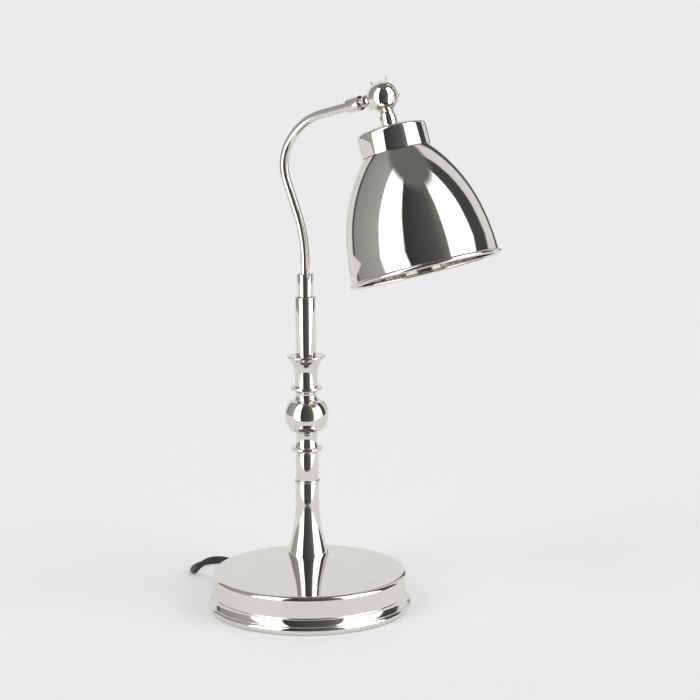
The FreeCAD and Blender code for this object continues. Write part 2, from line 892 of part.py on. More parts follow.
def swing_room(name, side):
    """The room that one half of the knuckle sweeps, taken off the other half's neck.
    Side +1 is the rear half's room and -1 the front half's."""
    room = ball(name, "knuckle_radius + knuckle_swing", PIVOT)
    face = "asin(Sizes.half_face / (Sizes.knuckle_radius + Sizes.knuckle_swing))"
    if side > 0:
        room.setExpression("Angle1", "-" + face)
    else:
        room.setExpression("Angle2", face)
    return room


def build_knuckle():
    bolt_way = "bolt_radius + turn_fit"
    rear = [
        (bolt_way, "zero - boss_face"),
        ("boss_radius", "zero - boss_face"),
        ("boss_radius", "half_face"),
        ("half_face_radius", "half_face"),
        ("bore_radius", "bore_mouth", "knuckle_radius", 1),
        ("bore_radius", "bore_floor"),
        (bolt_way, "bore_floor"),
    ]
    neck = [
        ("zero", "neck_root"),
        ("arm_neck_radius", "neck_root"),
        ("arm_neck_radius", "arm_neck_ring_near"),
        ("arm_neck_ring_radius", "arm_neck_ring_near"),
        ("arm_neck_ring_radius", "arm_neck_ring_far"),
        ("arm_neck_radius", "arm_neck_ring_far"),
        ("arm_neck_radius", "end_ferrule_near"),
        ("zero", "end_ferrule_near"),
    ]
    rear_half = turned("RearHalf", rear, PIVOT)
    arm_neck = cut("ArmNeck", turned("ArmNeckBlank", neck, ARM_END), [swing_room("FrontRoom", -1)])
    bolt_clear = cylinder("ArmNeckBoltWay", "bore_radius", "bore_mouth", PIVOT)
    arm_neck = cut("ArmNeckClear", arm_neck, [bolt_clear])
    name_part(fuse("KnuckleRear", [rear_half, arm_neck]), "knuckle_rear")

    stub = [
        ("zero", "stem_top"),
        ("shade_neck_radius", "stem_top"),
        ("shade_neck_radius", "knuckle_height - neck_root"),
        ("zero", "knuckle_height - neck_root"),
    ]
    front_half = ball("FrontHalf", "knuckle_radius", PIVOT)
    front_half.setExpression("Angle2", "-asin(Sizes.half_face / Sizes.knuckle_radius)")
    shade_neck = cut("ShadeNeck", turned("ShadeNeckBlank", stub, SHADE), [swing_room("RearRoom", 1)])
    joined = fuse("FrontJoined", [front_half, shade_neck])
    thread_seat = SHADE.multiply(place(0, 0, size("cap_top")))
    thread_way = cylinder(
        "FrontThreadWay", "rod_radius + thread_fit", "nipple_top + end_gap - cap_top", thread_seat
    )
    bolt_seat = PIVOT.multiply(place(0, 0, -size("bolt_hole_end")))
    bolt_hole = cylinder("FrontBoltWay", bolt_way, "bolt_hole_end", bolt_seat)
    name_part(cut("KnuckleFront", joined, [thread_way, bolt_hole]), "knuckle_front")

    ring = [
        ("boss_radius + turn_fit", "zero - ring_half"),
        ("ring_rim - ring_bevel", "zero - ring_half"),
        ("ring_rim", "ring_bevel - ring_half"),
        ("ring_rim", "ring_half - ring_bevel"),
        ("ring_rim - ring_bevel", "ring_half"),
        ("boss_radius + turn_fit", "ring_half"),
    ]
    pieces = [turned("RingDisc", ring, PIVOT)]
    for index, angle in enumerate(PEG_ANGLES):
        aim = FreeCAD.Placement(KNUCKLE, FreeCAD.Rotation(Y_AXIS, size("quarter") - angle))
        root = aim.multiply(place(0, 0, size("peg_root")))
        pieces.append(cylinder("Peg%d" % index, "peg_radius", "peg_ball_centre - peg_root", root))
        end = aim.multiply(place(0, 0, size("peg_ball_centre")))
        pieces.append(ball("PegBall%d" % index, "peg_ball", end))
    name_part(fuse("ClampRing", pieces), "clamp_ring")

    bolt = [
        ("zero", "zero - bolt_tip"),
        ("bolt_radius", "zero - bolt_tip"),
        ("bolt_radius", "spring_washer_top"),
        ("bolt_head_radius", "spring_washer_top"),
        ("bolt_head_radius", "bolt_head_face"),
        ("bolt_socket", "bolt_head_face"),
        ("bolt_socket", "bolt_socket_floor"),
        ("zero", "bolt_socket_floor"),
    ]
    name_part(turned("PivotBolt", bolt, PIVOT), "pivot_bolt")
    washer = [
        ("bolt_radius + turn_fit", "bore_floor"),
        ("spring_washer_radius", "bore_floor"),
        ("spring_washer_radius", "spring_washer_top"),
        ("bolt_radius + turn_fit", "spring_washer_top"),
    ]
    name_part(turned("SpringWasher", washer, PIVOT), "spring_washer")


# ---------------------------------------------------------------- shade and lampholder

def build_shade():
    inner_mid = "dome_mid_radius - shade_skin"
    inner_top = "crown_radius - shade_skin"
    dome = [
        ("rim_in_radius", "rim_in", "dome_lower_round", -1),
        ("rim_radius", "zero - rim_bead", "rim_bead", 1),
        ("rim_out_radius", "rim_out", "rim_bead", 1),
        ("dome_mid_radius", "dome_mid", "dome_lower_round", 1),
        ("dome_top_radius", "dome_top", "dome_upper_round", 1),
        ("crown_radius", "dome_crown"),
        ("dome_hole", "dome_crown"),
        ("dome_hole", "dome_crown - shade_skin"),
        (inner_top, "dome_crown - shade_skin"),
        (inner_mid, "dome_mid", "dome_upper_round", -1),
    ]
    name_part(turned("ShadeDome", dome, SHADE), "shade_dome")

    thread = "rod_radius + thread_fit"
    cap = [
        ("cap_radius - shade_skin", "cap_foot"),
        ("cap_radius", "cap_foot"),
        ("cap_radius", "cap_wall_top"),
        ("cap_edge_radius", "cap_edge_top", "cap_edge_round", 1),
        ("cap_flat_radius", "cap_top", "cap_dome_round", 1),
        (thread, "cap_top"),
        (thread, "cap_top - shade_skin"),
        ("cap_flat_radius", "cap_top - shade_skin"),
        ("cap_edge_radius - shade_skin", "cap_edge_top - shade_skin", "cap_dome_round", -1),
        ("cap_radius - shade_skin", "cap_wall_top", "cap_edge_round", -1),
    ]
    name_part(turned("CollarCap", cap, SHADE), "collar_cap")

    stem = [
        (thread, "cap_top"),
        ("stem_radius", "cap_top"),
        ("stem_radius", "stem_top - stem_edge"),
        ("shade_neck_radius", "stem_top"),
        (thread, "stem_top"),
    ]
    name_part(turned("ShadeStem", stem, SHADE), "shade_stem")

    nipple = [
        ("nipple_bore", "nipple_foot"),
        ("rod_radius", "nipple_foot"),
        ("rod_radius", "nipple_top"),
        ("nipple_bore", "nipple_top"),
    ]
    name_part(turned("ThreadedNipple", nipple, SHADE), "threaded_nipple")
    hex_nut("NippleNut", "nipple_nut", size("nipple_nut_top - nut_thickness"), SHADE)

    clamp = [
        ("holder_radius + seat_fit", "clamp_foot"),
        ("clamp_outer", "clamp_foot"),
        ("clamp_outer", "dome_crown - shade_skin"),
        ("holder_radius + seat_fit", "dome_crown - shade_skin"),
    ]
    name_part(turned("ShadeClamp", clamp, SHADE), "shade_clamp")


def build_lampholder():
    thread = "rod_radius + thread_fit"
    cap = [
        ("holder_radius - holder_skin", "holder_split"),
        ("holder_radius", "holder_split"),
        ("holder_radius", "holder_wall_top"),
        ("holder_crown_radius", "holder_top", "holder_round", 1),
        (thread, "holder_top"),
        (thread, "holder_top - holder_skin"),
        ("holder_crown_radius - holder_skin", "holder_top - holder_skin"),
        ("holder_radius - holder_skin", "holder_wall_top - holder_skin", "holder_round", -1),
    ]
    name_part(turned("LampholderCap", cap, SHADE), "lampholder_cap")
    skirt = [
        ("skirt_bore", "skirt_foot"),
        ("holder_radius - ferrule_edge", "skirt_foot"),
        ("holder_radius", "skirt_foot + ferrule_edge"),
        ("holder_radius", "holder_split"),
        ("skirt_bore", "holder_split"),
    ]
    name_part(turned("LampholderSkirt", skirt, SHADE), "lampholder_skirt")
    core = [
        ("zero", "core_foot"),
        ("core_radius", "core_foot"),
        ("core_radius", "core_top"),
        ("zero", "core_top"),
    ]
    name_part(turned("LampholderCore", core, SHADE), "lampholder_core")
    contact = [
        ("zero", "contact_foot"),
        ("contact_radius", "contact_foot"),
        ("contact_radius", "core_foot"),
        ("zero", "core_foot"),
    ]
    name_part(turned("CentreContact", contact, SHADE), "centre_contact")
    shell = [
        ("shell_bore", "shell_foot"),
        ("shell_bore + shell_skin", "shell_foot"),
        ("shell_bore + shell_skin", "core_foot"),
        ("shell_bore", "core_foot"),
    ]
    name_part(turned("ScrewShell", shell, SHADE), "screw_shell")


def build_bulb():
    cap = [
        ("zero", "bulb_foot"),
        ("bulb_thread_radius", "bulb_foot"),
        ("bulb_thread_radius", "bulb_thread_top"),
        ("bulb_tip_radius", "bulb_tip - ferrule_edge"),
        ("bulb_tip_radius", "bulb_tip"),
        ("zero", "bulb_tip"),
    ]
    name_part(turned("BulbCap", cap, SHADE), "bulb_cap")
    glass = [
        ("zero", "bulb_ball_centre - bulb_ball + bulb_skin", "bulb_ball - bulb_skin", -1),
        ("zero", "bulb_ball_centre - bulb_ball"),
        ("bulb_shoulder_radius", "bulb_shoulder", "bulb_ball", 1),
        ("bulb_neck_radius", "bulb_foot", "bulb_flare_round", -1),
        ("bulb_neck_radius - bulb_skin", "bulb_foot"),
        ("bulb_shoulder_radius - bulb_skin", "bulb_shoulder", "bulb_flare_round", 1),
    ]
    name_part(turned("BulbGlass", glass, SHADE), "bulb_glass")


# ---------------------------------------------------------------- cord, switch and plug

def build_gland():
    gland = [
        ("gland_bore", "gland_inner"),
        ("gland_nut_radius", "gland_inner"),
        ("gland_nut_radius", "gland_nut_face"),
        ("gland_waist_radius", "gland_nut_face"),
        ("gland_waist_radius", "gland_collar_face"),
        ("gland_collar_radius", "gland_collar_face"),
        ("gland_collar_radius", "gland_collar_top"),
        ("gland_taper_radius", "gland_taper_foot"),
        ("gland_tip_radius", "gland_tip"),
        ("gland_bore", "gland_tip"),
    ]
    name_part(turned("CordGland", gland, EXIT), "cord_gland")


def build_inner_flex():
    """The lead's own stretches inside the lamp, one for each moving body."""
    radius = size("cord_radius")
    outward = direction(size("exit_angle"))
    exit_up = Z_AXIS * size("exit_height")
    low = Z_AXIS * size("weight_top + cord_radius + ferrule_edge")
    column = FreeCAD.Vector(size("column_x"), size("column_y"), 0)
    start = outward * size("gland_tip") + exit_up
    aside = direction(size("flex_side_angle")) * size("flex_side")
    inside = outward * size("gland_inner - flex_in") + exit_up
    beside = outward * size("gland_inner - flex_low_in") + aside + low
    corners = [start, inside, beside, column + low, column + Z_AXIS * size("ferrule_ledge - end_gap")]
    radii = [size("flex_bend"), size("flex_bend"), size("flex_foot_bend")]
    name_part(tube("FlexBase", bent_path(corners, radii), radius), "flex_base")
    arm = arm_wire(size("ferrule_ledge + end_gap"), size("end_ferrule_near + end_gap"))
    name_part(tube("FlexArm", arm, radius), "flex_arm")
    top = SHADE.multVec(Z_AXIS * size("nipple_top"))
    foot = SHADE.multVec(Z_AXIS * size("core_top + end_gap"))
    wire = Part.Wire([Part.LineSegment(foot, top).toShape()])
    name_part(tube("FlexShade", wire, radius), "flex_shade")


def vectors(points):
    return [FreeCAD.Vector(*point) for point in points]


def build_cord():
    radius = size("cord_radius")
    straight = size("lead_straight")
    exits = [EXIT.multVec(Z_AXIS * (size("gland_tip") + run)) for run in (0, straight)]
    half = size("switch_half_length")
    before, entry, leave, after = [
        SWITCH.multVec(FreeCAD.Vector(along, 0, size("switch_split")))
        for along in (-half - straight, -half, half, half + straight)
    ]
    coil, tail = coil_wire()
    first = coil.Edges[0]
    lead = exits + vectors(LEAD_POINTS) + [before, entry]
    name_part(tube("CordLead", bent_path(lead, cord_radii(lead, "lead")), radius), "cord_lead")
    link = [leave, after] + vectors(LINK_POINTS) + [first.valueAt(first.FirstParameter)]
    name_part(tube("CordLink", bent_path(link, cord_radii(link, "link")), radius), "cord_link")
    name_part(tube("CordCoil", coil, radius), "cord_coil")
    print("coil least gap to itself %.2f" % least_self_gap(coil, radius))
    return tail


def screw_ways(name, radius, height):
    """One way for each of the switch's two screws, from the floor up."""
    return [
        cylinder(
            "%s%d" % (name, side + 1), radius, height, SWITCH.multiply(place(side * size("screw_x"), 0, 0))
        )
        for side in (-1, 1)
    ]


def build_switch():
    half = "switch_half_length"
    wide = "switch_half_width"
    plan = [
        ("zero - " + half, "zero - " + wide),
        (half, "zero - " + wide),
        (half, wide),
        ("zero - " + half, wide),
    ]
    shaft_way = "screw_radius + thread_fit"
    lower = pulled("SwitchLower", "XY_Plane", plan, "switch_split", SWITCH)
    rounded("SwitchLower", lower, "switch_corner", upright)
    ways = screw_ways("ScrewWay", shaft_way, "screw_top")
    ways += screw_ways("HeadWay", "screw_head_radius + thread_fit", "screw_recess + screw_head")
    name_part(cut("SwitchBase", lower, ways), "switch_base")

    upper = pulled("SwitchUpper", "XY_Plane", plan, "switch_top - switch_split", SWITCH)
    rounded("SwitchUpper", upper, "switch_corner", upright)
    height = size("switch_top - switch_split")
    rounded(
        "SwitchUpperEdge",
        upper,
        "switch_edge",
        lambda edge: edge.BoundBox.ZMin > height - NEAR,
    )
    upper.Placement = SWITCH.multiply(place(0, 0, size("switch_split")))
    well = document.addObject("Part::Box", "RockerWell")
    bind(well, "Length", "well_half_length + well_half_length")
    bind(well, "Width", "well_half_width + well_half_width")
    bind(well, "Height", "switch_top")
    corner = place(-size("well_half_length"), -size("well_half_width"), size("well_floor"))
    well.Placement = SWITCH.multiply(corner)
    across = FreeCAD.Rotation(X_AXIS, -size("quarter"))
    pivot_line = SWITCH.multiply(place(0, -size("trunnion_hole_end"), size("rocker_pivot"), across))
    pivot_way = cylinder("PivotWay", "trunnion_hole", "trunnion_hole_end + trunnion_hole_end", pivot_line)
    ways = [well, pivot_way] + screw_ways("CoverScrewWay", shaft_way, "screw_top")
    name_part(cut("SwitchCover", upper, ways), "switch_cover")

    rocker = [
        ("zero - rocker_keel_half", "rocker_keel"),
        ("rocker_keel_half", "rocker_keel"),
        ("rocker_half_length", "rocker_pivot"),
        ("rocker_half_length", "rocker_tip"),
        ("zero", "rocker_dish"),
        ("zero - rocker_half_length", "rocker_tip"),
        ("zero - rocker_half_length", "rocker_pivot"),
    ]
    width = "rocker_half_width + rocker_half_width"
    key = pulled("RockerKey", "XZ_Plane", rocker, width, SWITCH, both=True)
    pin_line = SWITCH.multiply(place(0, -size("trunnion_end"), size("rocker_pivot"), across))
    pin = cylinder("RockerPin", "trunnion_radius", "trunnion_end + trunnion_end", pin_line)
    name_part(fuse("SwitchRocker", [key, pin]), "switch_rocker")

    screw = [
        ("zero", "screw_recess"),
        ("screw_head_radius", "screw_recess"),
        ("screw_head_radius", "screw_recess + screw_head"),
        ("screw_radius", "screw_recess + screw_head"),
        ("screw_radius", "screw_top - end_gap"),
        ("zero", "screw_top - end_gap"),
    ]
    screws = [
        turned("SwitchScrew%d" % (side + 1), screw, SWITCH.multiply(place(side * size("screw_x"), 0, 0)))
        for side in (-1, 1)
    ]
    group = document.addObject("Part::Compound", "SwitchScrews")
    group.Links = screws
    name_part(group, "switch_screws")


def build_plug(tail):
    turn = FreeCAD.Rotation(Z_AXIS, size("coil_angle"))
    seat = FreeCAD.Placement(FreeCAD.Vector(tail.x, tail.y, 0), turn)
    plan = [
        ("zero", "zero - plug_rear_half"),
        ("plug_shoulder", "zero - plug_front_half"),
        ("plug_length", "zero - plug_front_half"),
        ("plug_length", "plug_front_half"),
        ("plug_shoulder", "plug_front_half"),
        ("zero", "plug_rear_half"),
    ]
    thickness = "cord_radius + layer_pitch + cord_radius + layer_pitch"
    body = pulled("PlugBlank", "XY_Plane", plan, thickness, seat)
    rounded("PlugBlank", body, "plug_edge", lambda edge: edge.BoundBox.XMin < size("plug_length") - NEAR)
    pins = []
    ways = []
    ahead = FreeCAD.Rotation(Y_AXIS, size("quarter"))
    for side in (-1, 1):
        root = place(
            size("plug_length - pin_root"), side * size("pin_spacing") / 2, tail.z, ahead
        )
        root = seat.multiply(root)
        pins.append(cylinder("Pin%d" % (side + 1), "pin_radius", "pin_root + pin_length", root))
        ways.append(cylinder("PinWay%d" % (side + 1), "pin_radius + thread_fit", "plug_length", root))
    name_part(cut("PlugBody", body, ways), "plug_body")
    group = document.addObject("Part::Compound", "PlugPins")
    group.Links = pins
    name_part(group, "plug_pins")


# ---------------------------------------------------------------- build, check and write

build_base()
build_column()
build_arm()
build_knuckle()
build_shade()
build_lampholder()
build_bulb()
build_gland()
build_inner_flex()
cord_tail = build_cord()
build_switch()
build_plug(cord_tail)
document.recompute()

for item in document.Objects:
    if "Invalid" in item.State or "Error" in item.State:
        raise RuntimeError("%s did not build: %s" % (item.Label, item.State))

os.makedirs("parts", exist_ok=True)
for item in PARTS:
    shape = item.Shape
    if shape.isNull() or not shape.isValid() or not shape.Solids:
        raise RuntimeError("%s has no valid solid" % item.Label)
    shape.exportStep("parts/%s.step" % item.Label)
    print("%-18s %d solid(s), %.0f mm3" % (item.Label, len(shape.Solids), shape.Volume))
print("knuckle centre (%.2f, %.2f, %.2f)" % tuple(KNUCKLE))
print("shade rim centre (%.2f, %.2f, %.2f)" % tuple(SHADE_BASE))
print(len(PARTS), "pieces")
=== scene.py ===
# %% [markdown]
# # A desk lamp with a dome shade
# This lesson builds a polished metal desk lamp in Blender, piece by piece, in the way a lamp maker
# would: turned column pieces on a tie rod, a spun base, a bent arm tube, a ball knuckle and a spun
# dome shade. The measured model is loaded first as a frame. It says where every piece sits and
# which body it moves with, so each piece made here goes exactly where the frame's node is.

# %% Load the frame
import bmesh
import bpy
import json
import math
from mathutils import Matrix, Vector


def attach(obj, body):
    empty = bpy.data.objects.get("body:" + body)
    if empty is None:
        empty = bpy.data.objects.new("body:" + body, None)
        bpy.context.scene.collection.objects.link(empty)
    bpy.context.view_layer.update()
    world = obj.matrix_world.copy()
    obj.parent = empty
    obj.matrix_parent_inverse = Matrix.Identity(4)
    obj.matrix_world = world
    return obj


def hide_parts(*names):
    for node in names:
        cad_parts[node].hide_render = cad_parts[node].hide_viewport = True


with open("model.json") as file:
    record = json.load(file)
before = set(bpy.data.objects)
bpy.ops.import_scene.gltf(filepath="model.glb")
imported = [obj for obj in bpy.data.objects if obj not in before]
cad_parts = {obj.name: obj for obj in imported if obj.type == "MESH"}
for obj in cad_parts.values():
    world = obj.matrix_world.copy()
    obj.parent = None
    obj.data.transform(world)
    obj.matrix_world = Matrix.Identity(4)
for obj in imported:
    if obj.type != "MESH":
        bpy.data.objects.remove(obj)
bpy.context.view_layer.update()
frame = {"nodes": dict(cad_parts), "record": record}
MM = 0.001

# %% [markdown]
# ## The camera
# The lamp was looked at from a little above, with a long lens from about two metres away. A long
# lens keeps the column's sides parallel and the base's ellipse flat. The three angles are the
# heading, the slight downward pitch and a very small roll of the tripod.

# %% Camera
camera_data = bpy.data.cameras.new("Camera")
HEADING, PITCH_DOWN, ROLL = 36.95, 9.535, -0.377
CAMERA_PLACE = (1.20114, -1.5233, 0.5988)
camera_data.sensor_width = 36.0
camera_data.lens = 97.71
camera = bpy.data.objects.new("Camera", camera_data)
heading = Matrix.Rotation(math.radians(HEADING), 4, "Z")
pitch = Matrix.Rotation(math.radians(90.0 - PITCH_DOWN), 4, "X")
roll = Matrix.Rotation(math.radians(ROLL), 4, "Z")
camera.matrix_world = Matrix.Translation(CAMERA_PLACE) @ heading @ pitch @ roll
bpy.context.scene.collection.objects.link(camera)
bpy.context.scene.camera = camera
print("camera", [round(value, 3) for value in camera.location])

# %% [markdown]
# The cord is one spline. It leaves the gland at the back of the base, comes down to the table,
# runs through the switch and lies in two flat layers of turns behind the base, the upper
# one winding back out to the plug.

# %% Cord
CORD_THICKNESS = 0.0055
cord_ways = [(-122.88, 16.61, 24), (-135.76, 18.36, 24), (-151.1, 9.9, 22.5), (-162.3, 5.8, 12.3)]
cord_ways += [(-173.6, 11.8, 2.75), (-186.3, 22.2, 2.75), (-192.0, 38.9, 2.75)]
cord_ways += [(-190.0, 55.5, 2.75), (-179.1, 66.7, 2.75), (-163.12, 69.5, 6), (-150.32, 71.76, 6)]
cord_ways += [(-101.08, 80.44, 6), (-88.28, 82.7, 6), (-72.96, 85.94, 2.75)]
coil_middle = Vector((-84.402, 128.83, 0))
coil_start = math.radians(38.3 - 90)
turn_points = 16
outward = 2 / (1 + math.cos(math.pi / turn_points))


def coil_point(step, radius, height):
    angle = coil_start + math.tau * step / turn_points
    around = Vector((math.cos(angle), math.sin(angle), 0)) * radius * outward
    return tuple(coil_middle + around + Vector((0, 0, height)))


LOWER_LAYER, UPPER_LAYER, LAYER_RISE = 2.75, 8.7, 5.95
layer_steps = 52
outer_turn, wind = 40.4, 5.96 / turn_points
inner_turn = outer_turn - wind * layer_steps
cord_ways += [
    coil_point(step, outer_turn - wind * step, LOWER_LAYER) for step in range(layer_steps + 1)
]
for step in range(1, 8):
    tightened = inner_turn - 1.2 * math.sin(math.pi * step / 8)
    height = LOWER_LAYER + LAYER_RISE * step / 8
    cord_ways.append(coil_point(layer_steps + step, tightened, height))
for step in range(layer_steps + 1):
    cord_ways.append(coil_point(layer_steps + 8 + step, inner_turn + wind * step, UPPER_LAYER))
cord_ways.append((-32.22, 118.12, UPPER_LAYER))

cord_line = bpy.data.curves.new("cord_line", "CURVE")
cord_line.dimensions = "3D"
cord_line.bevel_depth = CORD_THICKNESS / 2
cord_line.bevel_resolution = 5
cord_line.resolution_u = 10
cord_line.use_fill_caps = True
route = cord_line.splines.new("NURBS")
route.points.add(len(cord_ways) - 1)
for point, way in zip(route.points, cord_ways):
    point.co = (*(Vector(way) * MM), 1)
route.order_u = 3
route.use_endpoint_u = True
cord = bpy.data.objects.new("cord", cord_line)
bpy.context.collection.objects.link(cord)
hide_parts("cord_lead", "cord_link", "cord_coil")
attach(cord, "base")
print("points on the cord:", len(cord_ways))

# %% [markdown]
# ## Turning
# Most of this lamp came off a lathe or a spinning chuck, so most pieces are an outline turned round
# an axis. The outline is drawn in millimetres as (radius, height) steps. A longer step adds an arc:
# its radius, and +1 to bend left or -1 to bend right. Real turned edges are never knife sharp, so
# the outline's corners are rounded before it is spun, which costs far less than bevelling after.

# %% Outline
ARC_STEP = math.radians(4)


def outline(mesh, steps):
    """Draws the closed outline, or an open one between two points on the axis."""
    corners = [Vector((step[0], 0, step[1])) * MM for step in steps]
    on_axis = steps[0][0] == 0 and steps[-1][0] == 0 and len(steps[0]) == 2
    begin = corners[0] if on_axis else corners[-1]
    tip = bmesh.ops.create_vert(mesh, co=begin)["vert"][0]
    for step, corner in list(zip(steps, corners))[on_axis:]:
        if len(step) == 2:
            tip = bmesh.ops.extrude_vert_indiv(mesh, verts=[tip])["verts"][0]
            tip.co = corner
            continue
        radius, side = step[2] * MM, step[3]
        chord = corner - tip.co
        aside = Vector((-chord.z, 0, chord.x)).normalized() * side
        centre = (tip.co + corner) / 2 + aside * math.sqrt(radius**2 - chord.length_squared / 4)
        angle = 2 * math.asin(chord.length / 2 / radius)
        arc = bmesh.ops.spin(
            mesh, geom=[tip], cent=centre, axis=(0, -side, 0), angle=angle,
            steps=max(3, math.ceil(angle / ARC_STEP)),
        )
        tip = arc["geom_last"][0]
    bmesh.ops.remove_doubles(mesh, verts=mesh.verts[:], dist=1e-7)


def soften(mesh, edge):
    """Rounds the outline's corners by that many millimetres."""
    corners = [
        vert for vert in mesh.verts
        if len(vert.link_edges) == 2 and vert.calc_edge_angle() > math.radians(25)
    ]
    if corners and edge:
        bmesh.ops.bevel(
            mesh, geom=corners, offset=edge * MM, offset_type="OFFSET", affect="VERTICES",
            segments=3, profile=0.5, material=-1, clamp_overlap=True,
        )


# %% [markdown]
# Every piece ends the same way: doubles are merged, the normals are turned outwards, the place is
# put into the mesh, the piece is tied to the body that it moves with, and the node of the measured
# model that it stands for is hidden.

# %% Placing
MERGE = 2e-6


def put(name, mesh, place, body, stands_for, crease=32):
    """Makes the bmesh a piece of that body, and hides the nodes that it stands for."""
    bmesh.ops.remove_doubles(mesh, verts=mesh.verts[:], dist=MERGE)
    bmesh.ops.recalc_face_normals(mesh, faces=mesh.faces[:])
    bmesh.ops.transform(mesh, matrix=place, verts=mesh.verts[:])
    data = bpy.data.meshes.new(name)
    mesh.to_mesh(data)
    mesh.free()
    data.shade_smooth()
    data.set_sharp_from_angle(angle=math.radians(crease))
    piece = bpy.data.objects.new(name, data)
    bpy.context.collection.objects.link(piece)
    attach(piece, body)
    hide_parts(*stands_for)
    return piece


def spin_round(mesh, sides):
    """Spins the outline once round the Z axis."""
    bmesh.ops.spin(
        mesh, geom=mesh.verts[:] + mesh.edges[:], cent=(0, 0, 0), axis=(0, 0, 1),
        angle=math.tau, steps=sides, use_merge=True,
    )


def turn(name, steps, place, body, stands_for, sides=128, edge=0.15):
    """A turned piece: the outline, softened and spun once round its own Z axis."""
    mesh = bmesh.new()
    outline(mesh, steps)
    soften(mesh, edge)
    spin_round(mesh, sides)
    return put(name, mesh, place, body, stands_for)


def at(x, y, z):
    return Matrix.Translation(Vector((x, y, z)) * MM)


def tilt(degrees, axis):
    return Matrix.Rotation(math.radians(degrees), 4, axis)


KNUCKLE = at(61.5521, 49.8, 532.6424)
MIDDLE = at(0, 0, 0)
COLUMN = at(-41.2, 49.8, 0)
SHADE = KNUCKLE @ tilt(-17.05, "Y") @ at(0, 0, -180.2)
ARM_END = KNUCKLE @ tilt(-103.5, "Y")
PIVOT = KNUCKLE @ tilt(-90, "X")
CORD_EXIT = at(0, 0, 24) @ tilt(172.3, "Z") @ tilt(90, "Y")
print("shade's rim centre:", [round(value, 4) for value in SHADE.translation])

# %% [markdown]
# ## The base
# The base is a thin cover spun over an iron weight. Its top is flat, a broad curve turns it into
# the wall, and below a small cove a rolled bead runs round the foot. The bead is what catches the
# brightest line of light, so its arc is drawn with its true radius.

# %% Base cover
base_cover = turn("base_shell", [
    (0, 37.5), (97.5, 37.5), (100.8, 34.2, 3.3, -1), (100.8, 15.6), (104.8, 8.3),
    (104.8, 0.8), (106, 0.8), (106, 7.9, 5.2, 1), (105.5, 7.9), (105.5, 8.6),
    (102.5, 16.1, 12, -1), (102, 16.6), (102, 34.2), (97.5, 38.7, 4.5, 1), (0, 38.7),
], MIDDLE, "base", ["base_cover"], sides=192, edge=0.25)
print("base shell:", len(base_cover.data.polygons), "faces")

# %% [markdown]
# A felt pad keeps the iron off the table. It is cut from thick cloth, so its edge is soft.

# %% Felt pad
felt_pad = turn("felt_disc", [(0, 0), (103, 0), (103, 2), (0, 2)],
                MIDDLE, "base", ["felt_pad"], sides=128, edge=0.7)
print("felt disc:", len(felt_pad.data.polygons), "faces")

# %% [markdown]
# ## The column
# The column is a stack of turned pieces, clamped on a hidden tie rod: a flared foot, a ring, a
# sleeve, a collar, the ball, another collar, a cup and the upper tube. They are kept as separate
# pieces, because the thin shadow where two of them meet is part of how such a column looks.

# %% Column pieces
BORE = 5.3
column_pieces = {
    "column_foot": [
        (BORE, 38.7), (22.3, 38.7), (20.9, 43.5), (16.9, 61.1), (12.8, 95, 140, -1),
        (12.8, 117.7), (BORE, 117.7),
    ],
    "column_ring": [(BORE, 117.7), (12.8, 117.7), (12.8, 121.3, 1.9, 1), (BORE, 121.3)],
    "column_sleeve": [(BORE, 121.3), (12.33, 121.3), (12.33, 151), (BORE, 151)],
    "lower_collar": [
        (BORE, 151), (12.33, 151), (14.9, 153.3, 12.5, -1), (16.6, 153.3), (17.1, 153.8),
        (17.1, 156.5), (16.6, 157), (13, 157), (12.5, 158.2), (12.5, 172.9, 20, -1), (BORE, 172.9),
    ],
    "column_ball": [
        (BORE, 172.9), (12.5, 172.9), (13.2, 174.6), (17.875, 176), (17.875, 207.2, 23.725, 1),
        (13.2, 208.6), (12.5, 210.3), (BORE, 210.3),
    ],
    "upper_collar": [
        (BORE, 210.3), (12.5, 210.3), (12.5, 217.6, 6.5, -1), (14.9, 219.6), (17.1, 220.1),
        (17.1, 222.5), (16.6, 223), (BORE, 223),
    ],
    "column_cup": [
        (BORE, 223), (12.5, 223), (12.5, 236.4, 75, -1), (20.3, 254.4, 25.5, -1), (20.9, 254.9),
        (20.9, 256.3), (20.4, 256.8), (19.8, 256.8), (11.05, 255.9), (11.05, 249), (BORE, 249),
    ],
    "column_tube": [(BORE, 249), (10.95, 249), (10.95, 319.5), (10.15, 320.3), (BORE, 320.3)],
    "column_ferrule": [
        (5.05, 320.3), (8.1, 320.3), (8.7, 320.9), (8.7, 344.5), (8.1, 345.1), (5.05, 345.1),
        (5.05, 330), (4.1, 330), (4.1, 328.3), (5.05, 328.3),
    ],
}
for node, steps in column_pieces.items():
    turn("post_" + node.removeprefix("column_"), steps, COLUMN, "base", [node], sides=112)
print("column pieces:", len(column_pieces))

# %% [markdown]
# A small set screw in the top ferrule stops the arm from turning when it is tightened. Its socket
# is a hexagon, pushed into the face of a short turned pin.

# %% Set screw
GRUB_SEAT = COLUMN @ at(0, 0, 337.5) @ tilt(90, "Y")
grub = bmesh.new()
outline(grub, [(0, 5.3), (2, 5.3), (2, 8.5), (0, 8.5)])
soften(grub, 0.2)
spin_round(grub, 48)
bmesh.ops.remove_doubles(grub, verts=grub.verts[:], dist=MERGE)
face_ring = [face for face in grub.faces if face.calc_center_median().z > 8.49 * MM]
bmesh.ops.delete(grub, geom=face_ring, context="FACES")
rim = [edge for edge in grub.edges if edge.is_boundary]
socket = bmesh.ops.create_circle(grub, cap_ends=False, radius=1.15 * MM, segments=6,
                                 matrix=Matrix.Translation((0, 0, 8.5 * MM)))["verts"]
mouth = [edge for edge in grub.edges if all(vert in socket for vert in edge.verts)]
bmesh.ops.bridge_loops(grub, edges=rim + mouth)
sunk = bmesh.ops.extrude_edge_only(grub, edges=mouth)["geom"]
